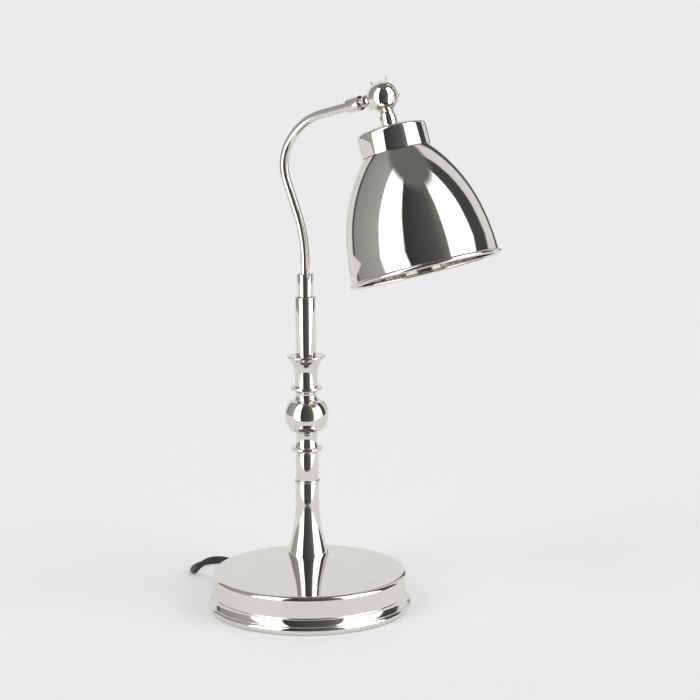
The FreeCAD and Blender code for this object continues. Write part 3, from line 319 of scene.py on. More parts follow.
floor_ring = [item for item in sunk if isinstance(item, bmesh.types.BMVert)]
bmesh.ops.translate(grub, verts=floor_ring, vec=(0, 0, -1.4 * MM))
bmesh.ops.contextual_create(grub, geom=floor_ring)
set_screw = put("set_screw", grub, GRUB_SEAT, "base", ["grub_screw"])
print("set screw:", len(set_screw.data.polygons), "faces")

# %% [markdown]
# ## The arm
# The arm is one brass tube, bent three times in a jig and plated. Two circles, the outside and the
# bore, are pulled up along the straight and spun round each bend's centre, just as the jig did it.
# Only its two ends need bridging to close the tube.

# %% Arm tube
arm = bmesh.new()
for radius in (5.0, 4.1):
    bmesh.ops.create_circle(arm, cap_ends=False, radius=radius * MM, segments=64,
                            matrix=Matrix.Translation((0, 0, 330.3 * MM)))
section = arm.edges[:]
lower_end = arm.edges[:]


def pull(length, degrees):
    """Pulls the tube's open section straight on, at that angle above the horizontal."""
    global section
    geometry = bmesh.ops.extrude_edge_only(arm, edges=section)["geom"]
    ahead = Vector((math.cos(math.radians(degrees)), 0, math.sin(math.radians(degrees))))
    moved = [item for item in geometry if isinstance(item, bmesh.types.BMVert)]
    bmesh.ops.translate(arm, verts=moved, vec=ahead * length * MM)
    section = [item for item in geometry if isinstance(item, bmesh.types.BMEdge)
               and all(vert in moved for vert in item.verts)]


def bend_round(x, z, degrees):
    """Carries the open section round a bend about that centre; plus is to the left."""
    global section
    ring = {vert for edge in section for vert in edge.verts}
    result = bmesh.ops.spin(
        arm, geom=list(ring) + section, cent=(x * MM, 0, z * MM), axis=(0, -1, 0),
        angle=math.radians(degrees), steps=math.ceil(abs(degrees) / 1.5),
    )
    section = [item for item in result["geom_last"] if isinstance(item, bmesh.types.BMEdge)]


pull(29.7, 90)
bend_round(-124, 360, 22)
pull(38.5, 112)
bend_round(17.34453, 458.63049, -54)
bend_round(41.08988, 443.79275, -44.5)
pull(49.9, 13.5)
bmesh.ops.bridge_loops(arm, edges=lower_end)
bmesh.ops.bridge_loops(arm, edges=section)
arm_tube = put("bent_tube", arm, COLUMN, "arm", ["arm_tube"], crease=40)
print("bent tube:", len(arm_tube.data.polygons), "faces")

# %% [markdown]
# The tube ends in a short turned ferrule, which carries the rear half of the knuckle.

# %% Arm end ferrule
end_ferrule = turn("arm_ferrule", [
    (3.5, 28), (7.3, 28), (7.9, 28.6), (7.9, 43.2), (7.3, 43.8),
    (5.05, 43.8), (5.05, 30.5), (3.5, 30.5),
], ARM_END, "arm", ["arm_end_ferrule"], sides=96)
print("arm ferrule:", len(end_ferrule.data.polygons), "faces")

# %% [markdown]
# ## The knuckle
# The knuckle is a ball cut in two, with a thin pegged disc between its halves. The halves run into
# their necks without a seam, so they are taken as they were measured: the node's mesh is copied and
# merged, and its long facets on the ball are divided and pushed back out to the true sphere, or the
# mirror finish would show every facet.

# %% Measured pieces
def mould_round(piece, width):
    """Rounds the piece's sharp edges by that many millimetres."""
    rounding = piece.modifiers.new("edge", "BEVEL")
    rounding.width = width * MM
    rounding.segments = 2
    rounding.angle_limit = math.radians(40)
    rounding.harden_normals = True


def measured(name, node, body, crease=32, ball=None, edge=0.0):
    """A smooth copy of a node. ball is (centre, radius in mm) of a sphere to refine."""
    mesh = bmesh.new()
    mesh.from_mesh(frame["nodes"][node].data)
    bmesh.ops.remove_doubles(mesh, verts=mesh.verts[:], dist=1e-5)
    if ball:
        centre, radius = ball[0], ball[1] * MM
        reach = 0.02 * MM

        def on_ball(vert):
            return abs((vert.co - centre).length - radius) < reach

        patch = [side for side in mesh.edges if all(on_ball(vert) for vert in side.verts)]
        bmesh.ops.subdivide_edges(mesh, edges=patch, cuts=2, use_grid_fill=True)
        inside = set()
        for face in mesh.faces:
            if all(abs((vert.co - centre).length - radius) < 0.12 * MM for vert in face.verts):
                inside.update(face.verts)
        for vert in inside:
            vert.co = centre + (vert.co - centre).normalized() * radius
    piece = put(name, mesh, MIDDLE, body, [node], crease)
    if edge:
        mould_round(piece, edge)
    return piece


ball_centre = KNUCKLE.translation
rear_half = measured("knuckle_back", "knuckle_rear", "arm", ball=(ball_centre, 15.9))
front_half = measured("knuckle_face", "knuckle_front", "shade", ball=(ball_centre, 15.9))
print("knuckle halves:", len(rear_half.data.polygons), len(front_half.data.polygons), "faces")

# %% [markdown]
# The disc carries four pegs with ball ends, to turn it by hand. Each peg is turned on its own axis
# and swung out to its place round the pivot.

# %% Pegged disc
pegged = bmesh.new()
outline(pegged, [
    (6.05, -1.15), (15.2, -1.15), (15.4, -0.95), (15.4, 0.95), (15.2, 1.15), (6.05, 1.15),
])
spin_round(pegged, 128)
bmesh.ops.transform(pegged, matrix=PIVOT, verts=pegged.verts[:])
for angle in (5.3, 76.5, 137.0, 219.6):
    peg = bmesh.new()
    outline(peg, [(0, 14), (0.85, 14), (0.85, 17.87), (0, 21.15, 1.75, 1)])
    spin_round(peg, 32)
    bmesh.ops.remove_doubles(peg, verts=peg.verts[:], dist=MERGE)
    bmesh.ops.transform(peg, matrix=KNUCKLE @ tilt(90 - angle, "Y"), verts=peg.verts[:])
    one_peg = bpy.data.meshes.new("peg")
    peg.to_mesh(one_peg)
    peg.free()
    pegged.from_mesh(one_peg)
    bpy.data.meshes.remove(one_peg)
pegged_disc = put("pegged_disc", pegged, MIDDLE, "clamp_ring", ["clamp_ring"])
print("pegged disc:", len(pegged_disc.data.polygons), "faces")

# %% [markdown]
# A spring washer under the bolt's head keeps the knuckle stiff. It is drawn flat, and a hair
# thinner than its seat, so that its face and the bolt's head never lie in one plane.

# %% Spring washer
wave_washer = turn("wave_washer", [(2.65, 10.56), (4.4, 10.56), (4.4, 11.62), (2.65, 11.62)],
                   PIVOT, "arm", ["spring_washer"], sides=64, edge=0.1)
print("spring washer:", len(wave_washer.data.polygons), "faces")

# %% [markdown]
# ## The shade
# The shade is a spun dome with its rim rolled over, and a cap sits on it like a lid. The wall is
# 1.2 mm thick and is drawn as it is, outside and inside, because the open mouth shows both. The
# dome needs the most faces round, since it is the largest mirror here.

# %% Dome, cap and stem
dome = turn("dome_shell", [
    (75.6, 1.46, 263, -1), (77.5, -2.4, 2.4, 1), (77, 2.35, 2.4, 1), (71.1, 50, 263, 1),
    (35.9, 121.5, 165.5, 1), (34.9, 122), (20.3, 122), (20.3, 120.8), (33.7, 120.8),
    (69.9, 50, 165.5, -1),
], SHADE, "shade", ["shade_dome"], sides=224, edge=0.12)
cap = turn("dome_cap", [
    (34.6, 122.2), (35.8, 122.2), (35.8, 143.4), (34, 146.4, 3.5, 1), (9, 150.9, 73.5, 1),
    (5.05, 150.9), (5.05, 149.7), (9, 149.7), (32.8, 145.2, 73.5, -1), (34.6, 143.4, 3.5, -1),
], SHADE, "shade", ["collar_cap"], sides=192, edge=0.2)
turn("dome_stem", [
    (5.05, 150.9), (8.8, 150.9), (8.8, 160.4), (7.4, 161.6), (5.05, 161.6),
], SHADE, "shade", ["shade_stem"], sides=96, edge=0.25)
print("dome:", len(dome.data.polygons), "faces, cap:", len(cap.data.polygons))

# %% [markdown]
# ## Lampholder and bulb
# Inside the dome a black lampholder hangs from the nipple, held by a clamping ring with grip ribs
# round its edge. The bulb is a small opal ball. Its screw cap is rolled thin metal, so the ridges
# are rounded, and they are drawn as rings: seen from below, a thread's slope can't be told.

# %% Lampholder
turn("holder_crown", [
    (18, 118.3), (19.5, 118.3), (19.5, 134), (12, 143.5, 12, 1), (5.05, 143.5), (5.05, 142),
    (10.5, 142), (18, 132.5, 12, -1),
], SHADE, "shade", ["lampholder_cap"], sides=96, edge=0.3)
turn("holder_skirt", [
    (14.7, 89), (18.9, 89), (19.5, 89.6), (19.5, 118.3), (14.7, 118.3),
], SHADE, "shade", ["lampholder_skirt"], sides=96, edge=0.4)
ribbed = bmesh.new()
outline(ribbed, [(19.6, 117), (25.5, 117), (25.5, 120.8), (19.6, 120.8)])
soften(ribbed, 0.4)
spin_round(ribbed, 144)
bmesh.ops.remove_doubles(ribbed, verts=ribbed.verts[:], dist=MERGE)
for vert in ribbed.verts:
    reach = vert.co.xy.length
    sector = round(math.degrees(math.atan2(vert.co.y, vert.co.x)) / 2.5)
    if reach > 25 * MM and sector % 4 >= 2:
        vert.co.xy *= (reach - 0.7 * MM) / reach
holder_ring = put("holder_ring", ribbed, SHADE, "shade", ["shade_clamp"])
print("holder ring:", len(holder_ring.data.polygons), "faces")

# %% Bulb
bulb = turn("opal_ball", [
    (0, 42.5, 21.5, -1), (0, 41.5), (20.2, 73.9, 22.5, 1), (12.9, 92, 34, -1), (11.9, 92),
    (19.2, 73.9, 34, 1),
], SHADE, "shade", ["bulb_glass"], sides=128, edge=0.0)
bulb_cap = turn("bulb_screw_cap", [
    (0, 92), (13.2, 92), (13.2, 94), (12.4, 95), (13.2, 96.2), (13.2, 97.6), (12.4, 98.6),
    (13.2, 99.8), (13.2, 101.2), (12.4, 102.3), (13.2, 103.5), (13.2, 104.9), (12.4, 106),
    (13.2, 107.1), (13.2, 108.5), (12.4, 109.6), (12.4, 112.5), (4.5, 116.7), (4.5, 117.3),
    (0, 117.3),
], SHADE, "shade", ["bulb_cap"], sides=96, edge=0.35)
print("bulb:", len(bulb.data.polygons), "faces, cap:", len(bulb_cap.data.polygons))

# %% [markdown]
# ## Gland, switch and plug
# Where the cord leaves the base, a moulded gland keeps it from being bent sharply. It tapers, and
# rings are cut into the taper so that it can flex. The switch and the plug are mouldings with small
# even rounds, so they are merged copies of the measured pieces, and a Bevel modifier adds the
# rounds that a mould leaves.

# %% Cord gland
gland_steps = [(2.9, 93), (7, 93), (7, 100.4), (4.9, 100.4), (4.9, 102.1), (6.5, 102.1), (6.5, 104)]
for ring in range(6):
    foot = 105.2 + ring * 2.9
    radius = 5.2 - (foot - 104.8) * 1.7 / 19.2
    gland_steps += [(radius, foot), (radius - 0.15, foot + 1.7), (radius - 1.0, foot + 1.9)]
    gland_steps += [(radius - 1.05, foot + 2.7)]
gland_steps += [(3.55, 122.6), (3.5, 124), (2.9, 124)]
gland = turn("cord_sleeve", gland_steps, CORD_EXIT, "base", ["cord_gland"],
             sides=72, edge=0.2)
print("gland:", len(gland.data.polygons), "faces")

# %% Switch and plug
measured("switch_lower", "switch_base", "base", edge=0.3)
measured("switch_upper", "switch_cover", "base", edge=0.3)
measured("switch_key", "switch_rocker", "rocker", edge=0.35)
measured("switch_fixings", "switch_screws", "base", edge=0.15)
measured("plug_pair", "plug_pins", "base", edge=0.6)
print("switch and plug pins placed")

# %% [markdown]
# The plug needs a grip. Three grooves are cut across each flank: the body is bisected into bands,
# and every other band is pulled in a little towards the plug's own middle line.

# %% Plug body
PLUG = at(-32.2189, 118.1161, 8.7) @ tilt(38.3, "Z")
plug = bmesh.new()
plug.from_mesh(frame["nodes"]["plug_body"].data)
bmesh.ops.remove_doubles(plug, verts=plug.verts[:], dist=1e-5)
bmesh.ops.transform(plug, matrix=PLUG.inverted(), verts=plug.verts[:])
for band in range(8):
    bmesh.ops.bisect_plane(plug, geom=plug.verts[:] + plug.edges[:] + plug.faces[:], dist=1e-7,
                           plane_co=((20.5 + band * 1.5) * MM, 0, 0), plane_no=(1, 0, 0))
for vert in plug.verts:
    place = vert.co.x / MM
    in_groove = any(20.4 + 3 * n < place < 22.1 + 3 * n for n in range(4))
    if in_groove and abs(vert.co.y) > 15 * MM:
        vert.co.y -= math.copysign(0.8 * MM, vert.co.y)
plug_piece = put("plug_moulding", plug, PLUG, "base", ["plug_body"])
mould_round(plug_piece, 0.3)
print("plug:", len(plug_piece.data.polygons), "faces")

# %% [markdown]

# %% [markdown]
# The lead goes on inside the lamp, through the base, the rod, the arm and the shade's nipple.
# Little of it can be seen, so those stretches keep the measured form.

# %% Inner lead
for node, body in (("flex_base", "base"), ("flex_arm", "arm"), ("flex_shade", "shade")):
    measured(node.replace("flex", "inner_lead"), node, body, crease=60)
print("inner lead placed")

# %% [markdown]
# ## Helpers for node materials
# A material is a small graph. `new_material` gives a Principled shader and `wire` joins two
# sockets, so that each finish below reads as a short list of what feeds what.

# %% Material helpers
def new_material(name, **settings):
    """A material with its Principled shader; settings are the shader's own sockets, by name."""
    material = bpy.data.materials.new(name)
    material.use_nodes = True
    shader = material.node_tree.nodes["Principled BSDF"]
    for key, value in settings.items():
        shader.inputs[key.replace("_", " ")].default_value = value
    return material, material.node_tree, shader


def add(tree, kind, **settings):
    """A node of that kind. A setting is an attribute, or an input socket by name."""
    node = tree.nodes.new(kind)
    for key, value in settings.items():
        if hasattr(node, key):
            setattr(node, key, value)
        else:
            node.inputs[key.replace("_", " ")].default_value = value
    return node


def wire(tree, *pairs):
    """Joins sockets: each pair is (output socket, input socket)."""
    for source, target in pairs:
        tree.links.new(source, target)


def paint_ramp(node, stops):
    """Sets a colour ramp from (place, colour) pairs, with places from 0 to 1."""
    stops_in = node.color_ramp.elements
    while len(stops_in) > 1:
        stops_in.remove(stops_in[-1])
    stops_in[0].position, stops_in[0].color = stops[0]
    for place, colour in stops[1:]:
        stops_in.new(place).color = colour


def grey(value):
    return (value, value, value, 1.0)


# %% [markdown]
# ## Finishes
# Two effects come back in many finishes, so each is a node group. "Handling" gives the faint clouds
# and wipes that make one part of a surface a little duller than the next. "Turning lines" reads the
# distance from an axis and the height along it, so its fine rings run round a turned piece.

# %% Node groups
def new_group(name, inputs, outputs):
    """An empty shader group: inputs are (name, kind, value), outputs (name, kind)."""
    group = bpy.data.node_groups.new(name, "ShaderNodeTree")
    for label, kind, value in inputs:
        socket = group.interface.new_socket(label, in_out="INPUT", socket_type=kind)
        if value is not None:
            socket.default_value = value
    for label, kind in outputs:
        group.interface.new_socket(label, in_out="OUTPUT", socket_type=kind)
    return group, group.nodes.new("NodeGroupInput"), group.nodes.new("NodeGroupOutput")


handling, into, out = new_group(
    "Handling",
    [("Vector", "NodeSocketVector", None), ("Cleanest", "NodeSocketFloat", 0.05),
     ("Dullest", "NodeSocketFloat", 0.12), ("Size", "NodeSocketFloat", 30.0)],
    [("Roughness", "NodeSocketFloat"), ("Clouds", "NodeSocketFloat")],
)
clouds = add(handling, "ShaderNodeTexNoise", Detail=5.0, Roughness=0.6)
wipes = add(handling, "ShaderNodeTexNoise", Scale=1.0, Detail=3.0)
stretch = add(handling, "ShaderNodeVectorMath", operation="MULTIPLY")
stretch.inputs[1].default_value = (60, 60, 400)
both = add(handling, "ShaderNodeMath", operation="MULTIPLY")
spread = add(handling, "ShaderNodeMapRange")
spread.inputs["From Min"].default_value = 0.12
spread.inputs["From Max"].default_value = 0.45
wire(
    handling,
    (into.outputs["Vector"], clouds.inputs["Vector"]),
    (into.outputs["Size"], clouds.inputs["Scale"]),
    (into.outputs["Vector"], stretch.inputs[0]),
    (stretch.outputs[0], wipes.inputs["Vector"]),
    (clouds.outputs["Fac"], both.inputs[0]),
    (wipes.outputs["Fac"], both.inputs[1]),
    (both.outputs[0], spread.inputs["Value"]),
    (into.outputs["Cleanest"], spread.inputs["To Min"]),
    (into.outputs["Dullest"], spread.inputs["To Max"]),
    (spread.outputs[0], out.inputs["Roughness"]),
    (clouds.outputs["Fac"], out.inputs["Clouds"]),
)

turning, into, out = new_group(
    "Turning lines",
    [("Vector", "NodeSocketVector", None), ("Fineness", "NodeSocketFloat", 2500.0)],
    [("Height", "NodeSocketFloat")],
)
split = add(turning, "ShaderNodeSeparateXYZ")
flat = add(turning, "ShaderNodeCombineXYZ")
reach = add(turning, "ShaderNodeVectorMath", operation="LENGTH")
profile_place = add(turning, "ShaderNodeCombineXYZ")
rings = add(turning, "ShaderNodeTexNoise", Detail=2.0)
wire(
    turning,
    (into.outputs["Vector"], split.inputs[0]),
    (split.outputs["X"], flat.inputs["X"]),
    (split.outputs["Y"], flat.inputs["Y"]),
    (flat.outputs[0], reach.inputs[0]),
    (reach.outputs["Value"], profile_place.inputs["X"]),
    (split.outputs["Z"], profile_place.inputs["Z"]),
    (profile_place.outputs[0], rings.inputs["Vector"]),
    (into.outputs["Fineness"], rings.inputs["Scale"]),
    (rings.outputs["Fac"], out.inputs["Height"]),
)
print("groups:", handling.name, "and", turning.name)

# %% [markdown]
# ## Polished nickel
# Nickel plate is a mirror with a slightly warm tint. The tint is one colour, a shade darker where
# the buffing was lighter, and the roughness is very low. Each group of pieces gets its own copy,
# because the turning lines must run round that group's axis: a Mapping node moves and turns the
# object's coordinates until the axis is Z.

# %% Metals
def group_node(tree, group, **settings):
    node = tree.nodes.new("ShaderNodeGroup")
    node.node_tree = group
    for key, value in settings.items():
        node.inputs[key].default_value = value
    return node


def own_axis(tree, place):
    """Object coordinates, moved and turned so that the piece's axis is Z."""
    coordinates = add(tree, "ShaderNodeTexCoord")
    mapping = add(tree, "ShaderNodeMapping")
    back = place.inverted()
    mapping.inputs["Location"].default_value = back.translation
    mapping.inputs["Rotation"].default_value = back.to_euler()
    wire(tree, (coordinates.outputs["Object"], mapping.inputs["Vector"]))
    return mapping.outputs["Vector"]


def metal(name, bright, dull, place, cleanest, dullest, lines=0.00002, fineness=2500.0):
    """A metal with clouds of handling, and fine turning lines round the place's axis."""
    material, tree, shader = new_material(name, Metallic=1.0)
    where = own_axis(tree, place)
    marks = group_node(tree, handling, Cleanest=cleanest, Dullest=dullest)
    cuts = group_node(tree, turning, Fineness=fineness)
    tint = add(tree, "ShaderNodeValToRGB")
    paint_ramp(tint, [(0.3, (*dull, 1)), (0.7, (*bright, 1))])
    bump = add(tree, "ShaderNodeBump", Strength=1.0, Distance=lines)
    wire(
        tree,
        (where, marks.inputs["Vector"]),
        (where, cuts.inputs["Vector"]),
        (marks.outputs["Clouds"], tint.inputs["Fac"]),
        (tint.outputs["Color"], shader.inputs["Base Color"]),
        (marks.outputs["Roughness"], shader.inputs["Roughness"]),
        (cuts.outputs["Height"], bump.inputs["Height"]),
        (bump.outputs["Normal"], shader.inputs["Normal"]),
    )
    return material


BRIGHT_NICKEL, DULL_NICKEL = (0.80, 0.775, 0.735), (0.755, 0.73, 0.69)
nickel = {
    name: metal(
        "polished_nickel_" + name, BRIGHT_NICKEL, DULL_NICKEL, place, 0.035, 0.075, 0.0000025
    )
    for name, place in (
        ("base", MIDDLE), ("column", COLUMN), ("shade", SHADE), ("knuckle", PIVOT), ("arm", ARM_END)
    )
}
steel = metal(
    "turned_steel", (0.60, 0.59, 0.57), (0.50, 0.49, 0.47), COLUMN, 0.22, 0.38, 0.00002, 900.0
)
brass = metal(
    "pin_brass", (0.83, 0.68, 0.38), (0.72, 0.56, 0.29), PLUG, 0.16, 0.30, 0.00001, 1200.0
)
bulb_metal = metal(
    "rolled_aluminium", (0.78, 0.78, 0.79), (0.66, 0.66, 0.67), SHADE, 0.20, 0.34, 0.00001
)
print("nickel copies:", len(nickel))

# %% [markdown]
# ## Cast iron, plastics, rubber, felt and glass
# These are all a base colour with a grain: one fine noise for the bump and a broad one for the
# colour. Only the sizes and the depth of the grain change, so one function makes them.

# %% Grained finishes
grain, into, out = new_group(
    "Grain",
    [("Vector", "NodeSocketVector", None), ("Size", "NodeSocketFloat", 1500.0),
     ("Dark", "NodeSocketColor", None), ("Light", "NodeSocketColor", None)],
    [("Color", "NodeSocketColor"), ("Height", "NodeSocketFloat")],
)
fine = add(grain, "ShaderNodeTexNoise", Detail=4.0, Roughness=0.65)
broad = add(grain, "ShaderNodeTexNoise", Scale=55.0, Detail=3.0)
blend = add(grain, "ShaderNodeMath", operation="ADD")
contrast = add(grain, "ShaderNodeMapRange")
contrast.inputs["From Min"].default_value = 0.75
contrast.inputs["From Max"].default_value = 1.25
shade_mix = add(grain, "ShaderNodeMix", data_type="RGBA")
wire(
    grain,
    (into.outputs["Vector"], fine.inputs["Vector"]),
    (into.outputs["Vector"], broad.inputs["Vector"]),
    (into.outputs["Size"], fine.inputs["Scale"]),
    (fine.outputs["Fac"], blend.inputs[0]),
    (broad.outputs["Fac"], blend.inputs[1]),
    (blend.outputs[0], contrast.inputs["Value"]),
    (contrast.outputs[0], shade_mix.inputs["Factor"]),
    (into.outputs["Dark"], shade_mix.inputs["A"]),
    (into.outputs["Light"], shade_mix.inputs["B"]),
    (shade_mix.outputs["Result"], out.inputs["Color"]),
    (fine.outputs["Fac"], out.inputs["Height"]),
)


def grained(name, dark, light, size, depth, cleanest, dullest, **settings):
    """A grained finish; size is how fine the grain is and depth its height in metres."""
    material, tree, shader = new_material(name, **settings)
    coordinates = add(tree, "ShaderNodeTexCoord")
    speck = group_node(tree, grain, Size=size, Dark=(*dark, 1), Light=(*light, 1))
    marks = group_node(tree, handling, Cleanest=cleanest, Dullest=dullest)
    bump = add(tree, "ShaderNodeBump", Strength=1.0, Distance=depth)
    wire(
        tree,
        (coordinates.outputs["Object"], speck.inputs["Vector"]),
        (coordinates.outputs["Object"], marks.inputs["Vector"]),
        (speck.outputs["Color"], shader.inputs["Base Color"]),
        (marks.outputs["Roughness"], shader.inputs["Roughness"]),
        (speck.outputs["Height"], bump.inputs["Height"]),
        (bump.outputs["Normal"], shader.inputs["Normal"]),
    )
    return material


cast_iron = grained(
    "cast_iron", (0.055, 0.053, 0.05), (0.11, 0.105, 0.1), 700, 0.0003, 0.5, 0.75, Metallic=0.8
)
felt = grained("pad_felt", (0.020, 0.022, 0.021), (0.05, 0.053, 0.05), 2600, 0.0006, 0.85, 1.0)
felt.node_tree.nodes["Principled BSDF"].inputs["Sheen Weight"].default_value = 0.4
rubber = grained(
    "cord_rubber", (0.010, 0.010, 0.011), (0.020, 0.020, 0.021), 1500, 0.00003, 0.38, 0.55
)
plastic = grained(
    "black_plastic", (0.012, 0.012, 0.013), (0.022, 0.022, 0.023), 2200, 0.00003, 0.34, 0.5
)
insulator = grained(
    "white_insulator", (0.74, 0.73, 0.70), (0.82, 0.81, 0.78), 900, 0.00002, 0.18, 0.3
)
opal = grained("opal_glass", (0.86, 0.85, 0.82), (0.90, 0.89, 0.87), 300, 0.000005, 0.08, 0.16)
opal_shader = opal.node_tree.nodes["Principled BSDF"]
opal_shader.inputs["Subsurface Weight"].default_value = 0.35
opal_shader.inputs["Subsurface Radius"].default_value = (0.01, 0.01, 0.01)
opal_shader.inputs["Coat Weight"].default_value = 0.5
opal_shader.inputs["Coat Roughness"].default_value = 0.03
print("grained finishes: 6")

# %% [markdown]
# ## Painting
# Each piece has one finish, so it takes one material, and so does each node of the measured model
# that still shows.

# %% Paint every piece
def paint(item, material):
    item.data.materials.clear()
    item.data.materials.append(material)


finish_of = {
    "base_shell": nickel["base"], "felt_disc": felt, "set_screw": steel, "wave_washer": steel,
    "bent_tube": nickel["arm"], "arm_ferrule": nickel["arm"],
    "knuckle_back": nickel["knuckle"], "knuckle_face": nickel["knuckle"],
    "pegged_disc": nickel["knuckle"], "dome_shell": nickel["shade"], "dome_cap": nickel["shade"],
    "dome_stem": nickel["shade"], "holder_crown": plastic, "holder_skirt": plastic,
    "holder_ring": plastic, "opal_ball": opal, "bulb_screw_cap": bulb_metal, "cord_sleeve": plastic,
    "switch_lower": plastic, "switch_upper": plastic, "switch_key": plastic,
    "switch_fixings": steel,
    "plug_pair": brass, "plug_moulding": plastic, "cord": rubber, "inner_lead_base": rubber,
    "inner_lead_arm": rubber, "inner_lead_shade": rubber,
}
finish_of.update(
    {"post_" + node.removeprefix("column_"): nickel["column"] for node in column_pieces}
)
for piece_name, material in finish_of.items():
    paint(bpy.data.objects[piece_name], material)
finish_of_slot = {
    "nickel": nickel["column"], "iron": cast_iron, "steel": steel, "white_insulator": insulator,
    "brass": brass, "black_plastic": plastic, "bulb_metal": bulb_metal,
}
print("pieces painted:", len(finish_of))

# %% Paint the measured nodes
for part in frame["record"]["subparts"]:
    if part["material_slot"] in finish_of_slot:
        paint(frame["nodes"][part["node"]], finish_of_slot[part["material_slot"]])
print("nodes painted:", len(frame["nodes"]))

# %% [markdown]
# ## The table
# The lamp stands on pale paper. One wide disc does for it, because it looks the same from every
# side. Three things in its material make it a studio table: it fades into the backdrop's colour
# far out, it is lifted a little for the camera and for mirrors, so that it is nearly white but
# keeps the lamp's shadow, and in front of the lamp mirrors look through it into the dark room,
# because the real sheet ended there.

# %% Floor
toward_camera = math.atan2(camera.location.y, camera.location.x)
BACKDROP = 0.83
disc = bmesh.new()
bmesh.ops.create_circle(disc, cap_ends=True, radius=3.0, segments=128,
                        matrix=Matrix.Translation((0, 0, -0.0002)))
floor_mesh = bpy.data.meshes.new("paper_floor")
disc.to_mesh(floor_mesh)
disc.free()
paper_floor = bpy.data.objects.new("paper_floor", floor_mesh)
bpy.context.scene.collection.objects.link(paper_floor)

paper, tree, shader = new_material("pale_paper", Base_Color=grey(0.86), Roughness=0.9)
shader.inputs["Specular IOR Level"].default_value = 0.1
shader.inputs["Emission Color"].default_value = grey(1.0)
rays = add(tree, "ShaderNodeLightPath")
seen = add(tree, "ShaderNodeMath", operation="MAXIMUM")
lift = add(tree, "ShaderNodeMath", operation="MULTIPLY")
lift.inputs[1].default_value = 0.25
spot = add(tree, "ShaderNodeTexCoord")
turned_spot = add(tree, "ShaderNodeMapping")
turned_spot.inputs["Rotation"].default_value[2] = -toward_camera
parts_of_spot = add(tree, "ShaderNodeSeparateXYZ")
in_front = add(tree, "ShaderNodeMapRange", interpolation_type="SMOOTHSTEP")
in_front.inputs["From Min"].default_value = 0.33
in_front.inputs["From Max"].default_value = 0.40
mirror_gap = add(tree, "ShaderNodeMath", operation="MULTIPLY")
far_out = add(tree, "ShaderNodeVectorMath", operation="LENGTH")
fade = add(tree, "ShaderNodeMapRange", interpolation_type="SMOOTHSTEP")
fade.inputs["From Min"].default_value = 0.9
fade.inputs["From Max"].default_value = 2.6
backdrop_glow = add(tree, "ShaderNodeEmission", Color=grey(BACKDROP))
window = add(tree, "ShaderNodeBsdfTransparent")
near_or_far = add(tree, "ShaderNodeMixShader")
paper_or_gap = add(tree, "ShaderNodeMixShader")
surface = tree.nodes["Material Output"].inputs["Surface"]
wire(
    tree,
    (rays.outputs["Is Camera Ray"], seen.inputs[0]),
    (rays.outputs["Is Glossy Ray"], seen.inputs[1]),
    (seen.outputs[0], lift.inputs[0]),
    (lift.outputs[0], shader.inputs["Emission Strength"]),
    (spot.outputs["Object"], turned_spot.inputs["Vector"]),
    (turned_spot.outputs["Vector"], parts_of_spot.inputs[0]),
    (parts_of_spot.outputs["X"], in_front.inputs["Value"]),
    (in_front.outputs[0], mirror_gap.inputs[0]),
    (rays.outputs["Is Glossy Ray"], mirror_gap.inputs[1]),
    (spot.outputs["Object"], far_out.inputs[0]),
    (far_out.outputs["Value"], fade.inputs["Value"]),
    (fade.outputs[0], near_or_far.inputs[0]),
    (shader.outputs[0], near_or_far.inputs[1]),
    (backdrop_glow.outputs[0], near_or_far.inputs[2]),
    (mirror_gap.outputs[0], paper_or_gap.inputs[0]),
    (near_or_far.outputs[0], paper_or_gap.inputs[1]),
    (window.outputs[0], paper_or_gap.inputs[2]),
    (paper_or_gap.outputs[0], surface),
)
floor_mesh.materials.append(paper)
print("floor:", len(floor_mesh.polygons), "face")

# %% [markdown]
# ## The room's light
# Polished metal has almost no colour of its own: it shows the room. The bands on the shade and
# the column are two tall soft boxes, left and right, the dark room behind the camera between them,
# and the pale backdrop behind. The world is painted as that room: a radial gradient reads the
# compass direction, and a ramp gives each direction its brightness.

# %% World
world = bpy.data.worlds.new("Studio")
world.use_nodes = True
bpy.context.scene.world = world
room = world.node_tree
background = room.nodes["Background"]
direction = add(room, "ShaderNodeTexCoord")
facing = add(room, "ShaderNodeMapping")
facing.inputs["Rotation"].default_value[2] = -toward_camera
compass = add(room, "ShaderNodeTexGradient", gradient_type="RADIAL")
bands = add(room, "ShaderNodeValToRGB")


def bearing(degrees):
    """Place on the ramp of a bearing from the camera's side; plus is to the picture's right."""
    return (degrees + 180.0) / 360.0


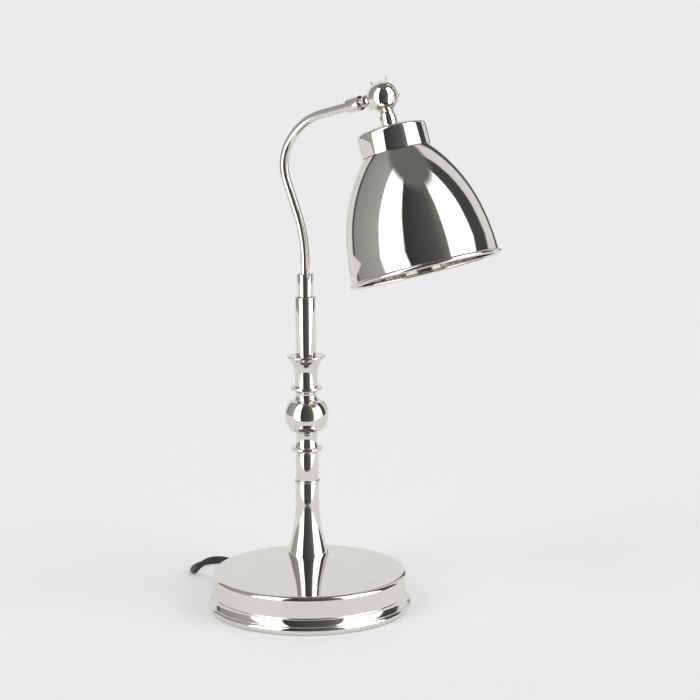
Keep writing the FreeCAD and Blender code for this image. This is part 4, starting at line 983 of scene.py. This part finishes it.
paint_ramp(bands, [
    (0.0, grey(0.24)),
    (bearing(-134), grey(0.24)),
    (bearing(-132), grey(0.02)),
    (bearing(-128), grey(0.02)),
    (bearing(-126), grey(0.09)),
    (bearing(-72), grey(0.13)),
    (bearing(-70), grey(0.62)),
    (bearing(-34), grey(0.62)),
    (bearing(-31), grey(0.012)),
    (bearing(20), grey(0.03)),
    (bearing(38), grey(0.06)),
    (bearing(41), grey(0.62)),
    (bearing(90), grey(0.62)),
    (bearing(93), grey(0.02)),
    (bearing(120), grey(0.02)),
    (bearing(124), grey(0.24)),
    (bearing(146), grey(0.24)),
    (bearing(150), grey(0.02)),
    (bearing(158), grey(0.02)),
    (bearing(162), grey(0.24)),
])
height = add(room, "ShaderNodeSeparateXYZ")
overhead = add(room, "ShaderNodeMapRange", interpolation_type="SMOOTHSTEP")
overhead.inputs["From Min"].default_value = 0.84
overhead.inputs["From Max"].default_value = 0.92
ceiling = add(room, "ShaderNodeMix", data_type="RGBA")
ceiling.inputs["B"].default_value = grey(0.05)
ROOM_LIGHT = 3.4
eye = add(room, "ShaderNodeLightPath")
backdrop = add(room, "ShaderNodeMix", data_type="RGBA")
backdrop.inputs["B"].default_value = grey(BACKDROP / ROOM_LIGHT)
wire(
    room,
    (direction.outputs["Generated"], facing.inputs["Vector"]),
    (facing.outputs["Vector"], compass.inputs["Vector"]),
    (compass.outputs["Fac"], bands.inputs["Fac"]),
    (direction.outputs["Generated"], height.inputs["Vector"]),
    (height.outputs["Z"], overhead.inputs["Value"]),
    (overhead.outputs["Result"], ceiling.inputs["Factor"]),
    (bands.outputs["Color"], ceiling.inputs["A"]),
    (eye.outputs["Is Camera Ray"], backdrop.inputs["Factor"]),
    (ceiling.outputs["Result"], backdrop.inputs["A"]),
    (backdrop.outputs["Result"], background.inputs["Color"]),
)
background.inputs["Strength"].default_value = ROOM_LIGHT
bpy.context.scene.view_settings.view_transform = "Standard"
print("room bands:", len(bands.color_ramp.elements))

# %% Finish
bpy.context.view_layer.update()
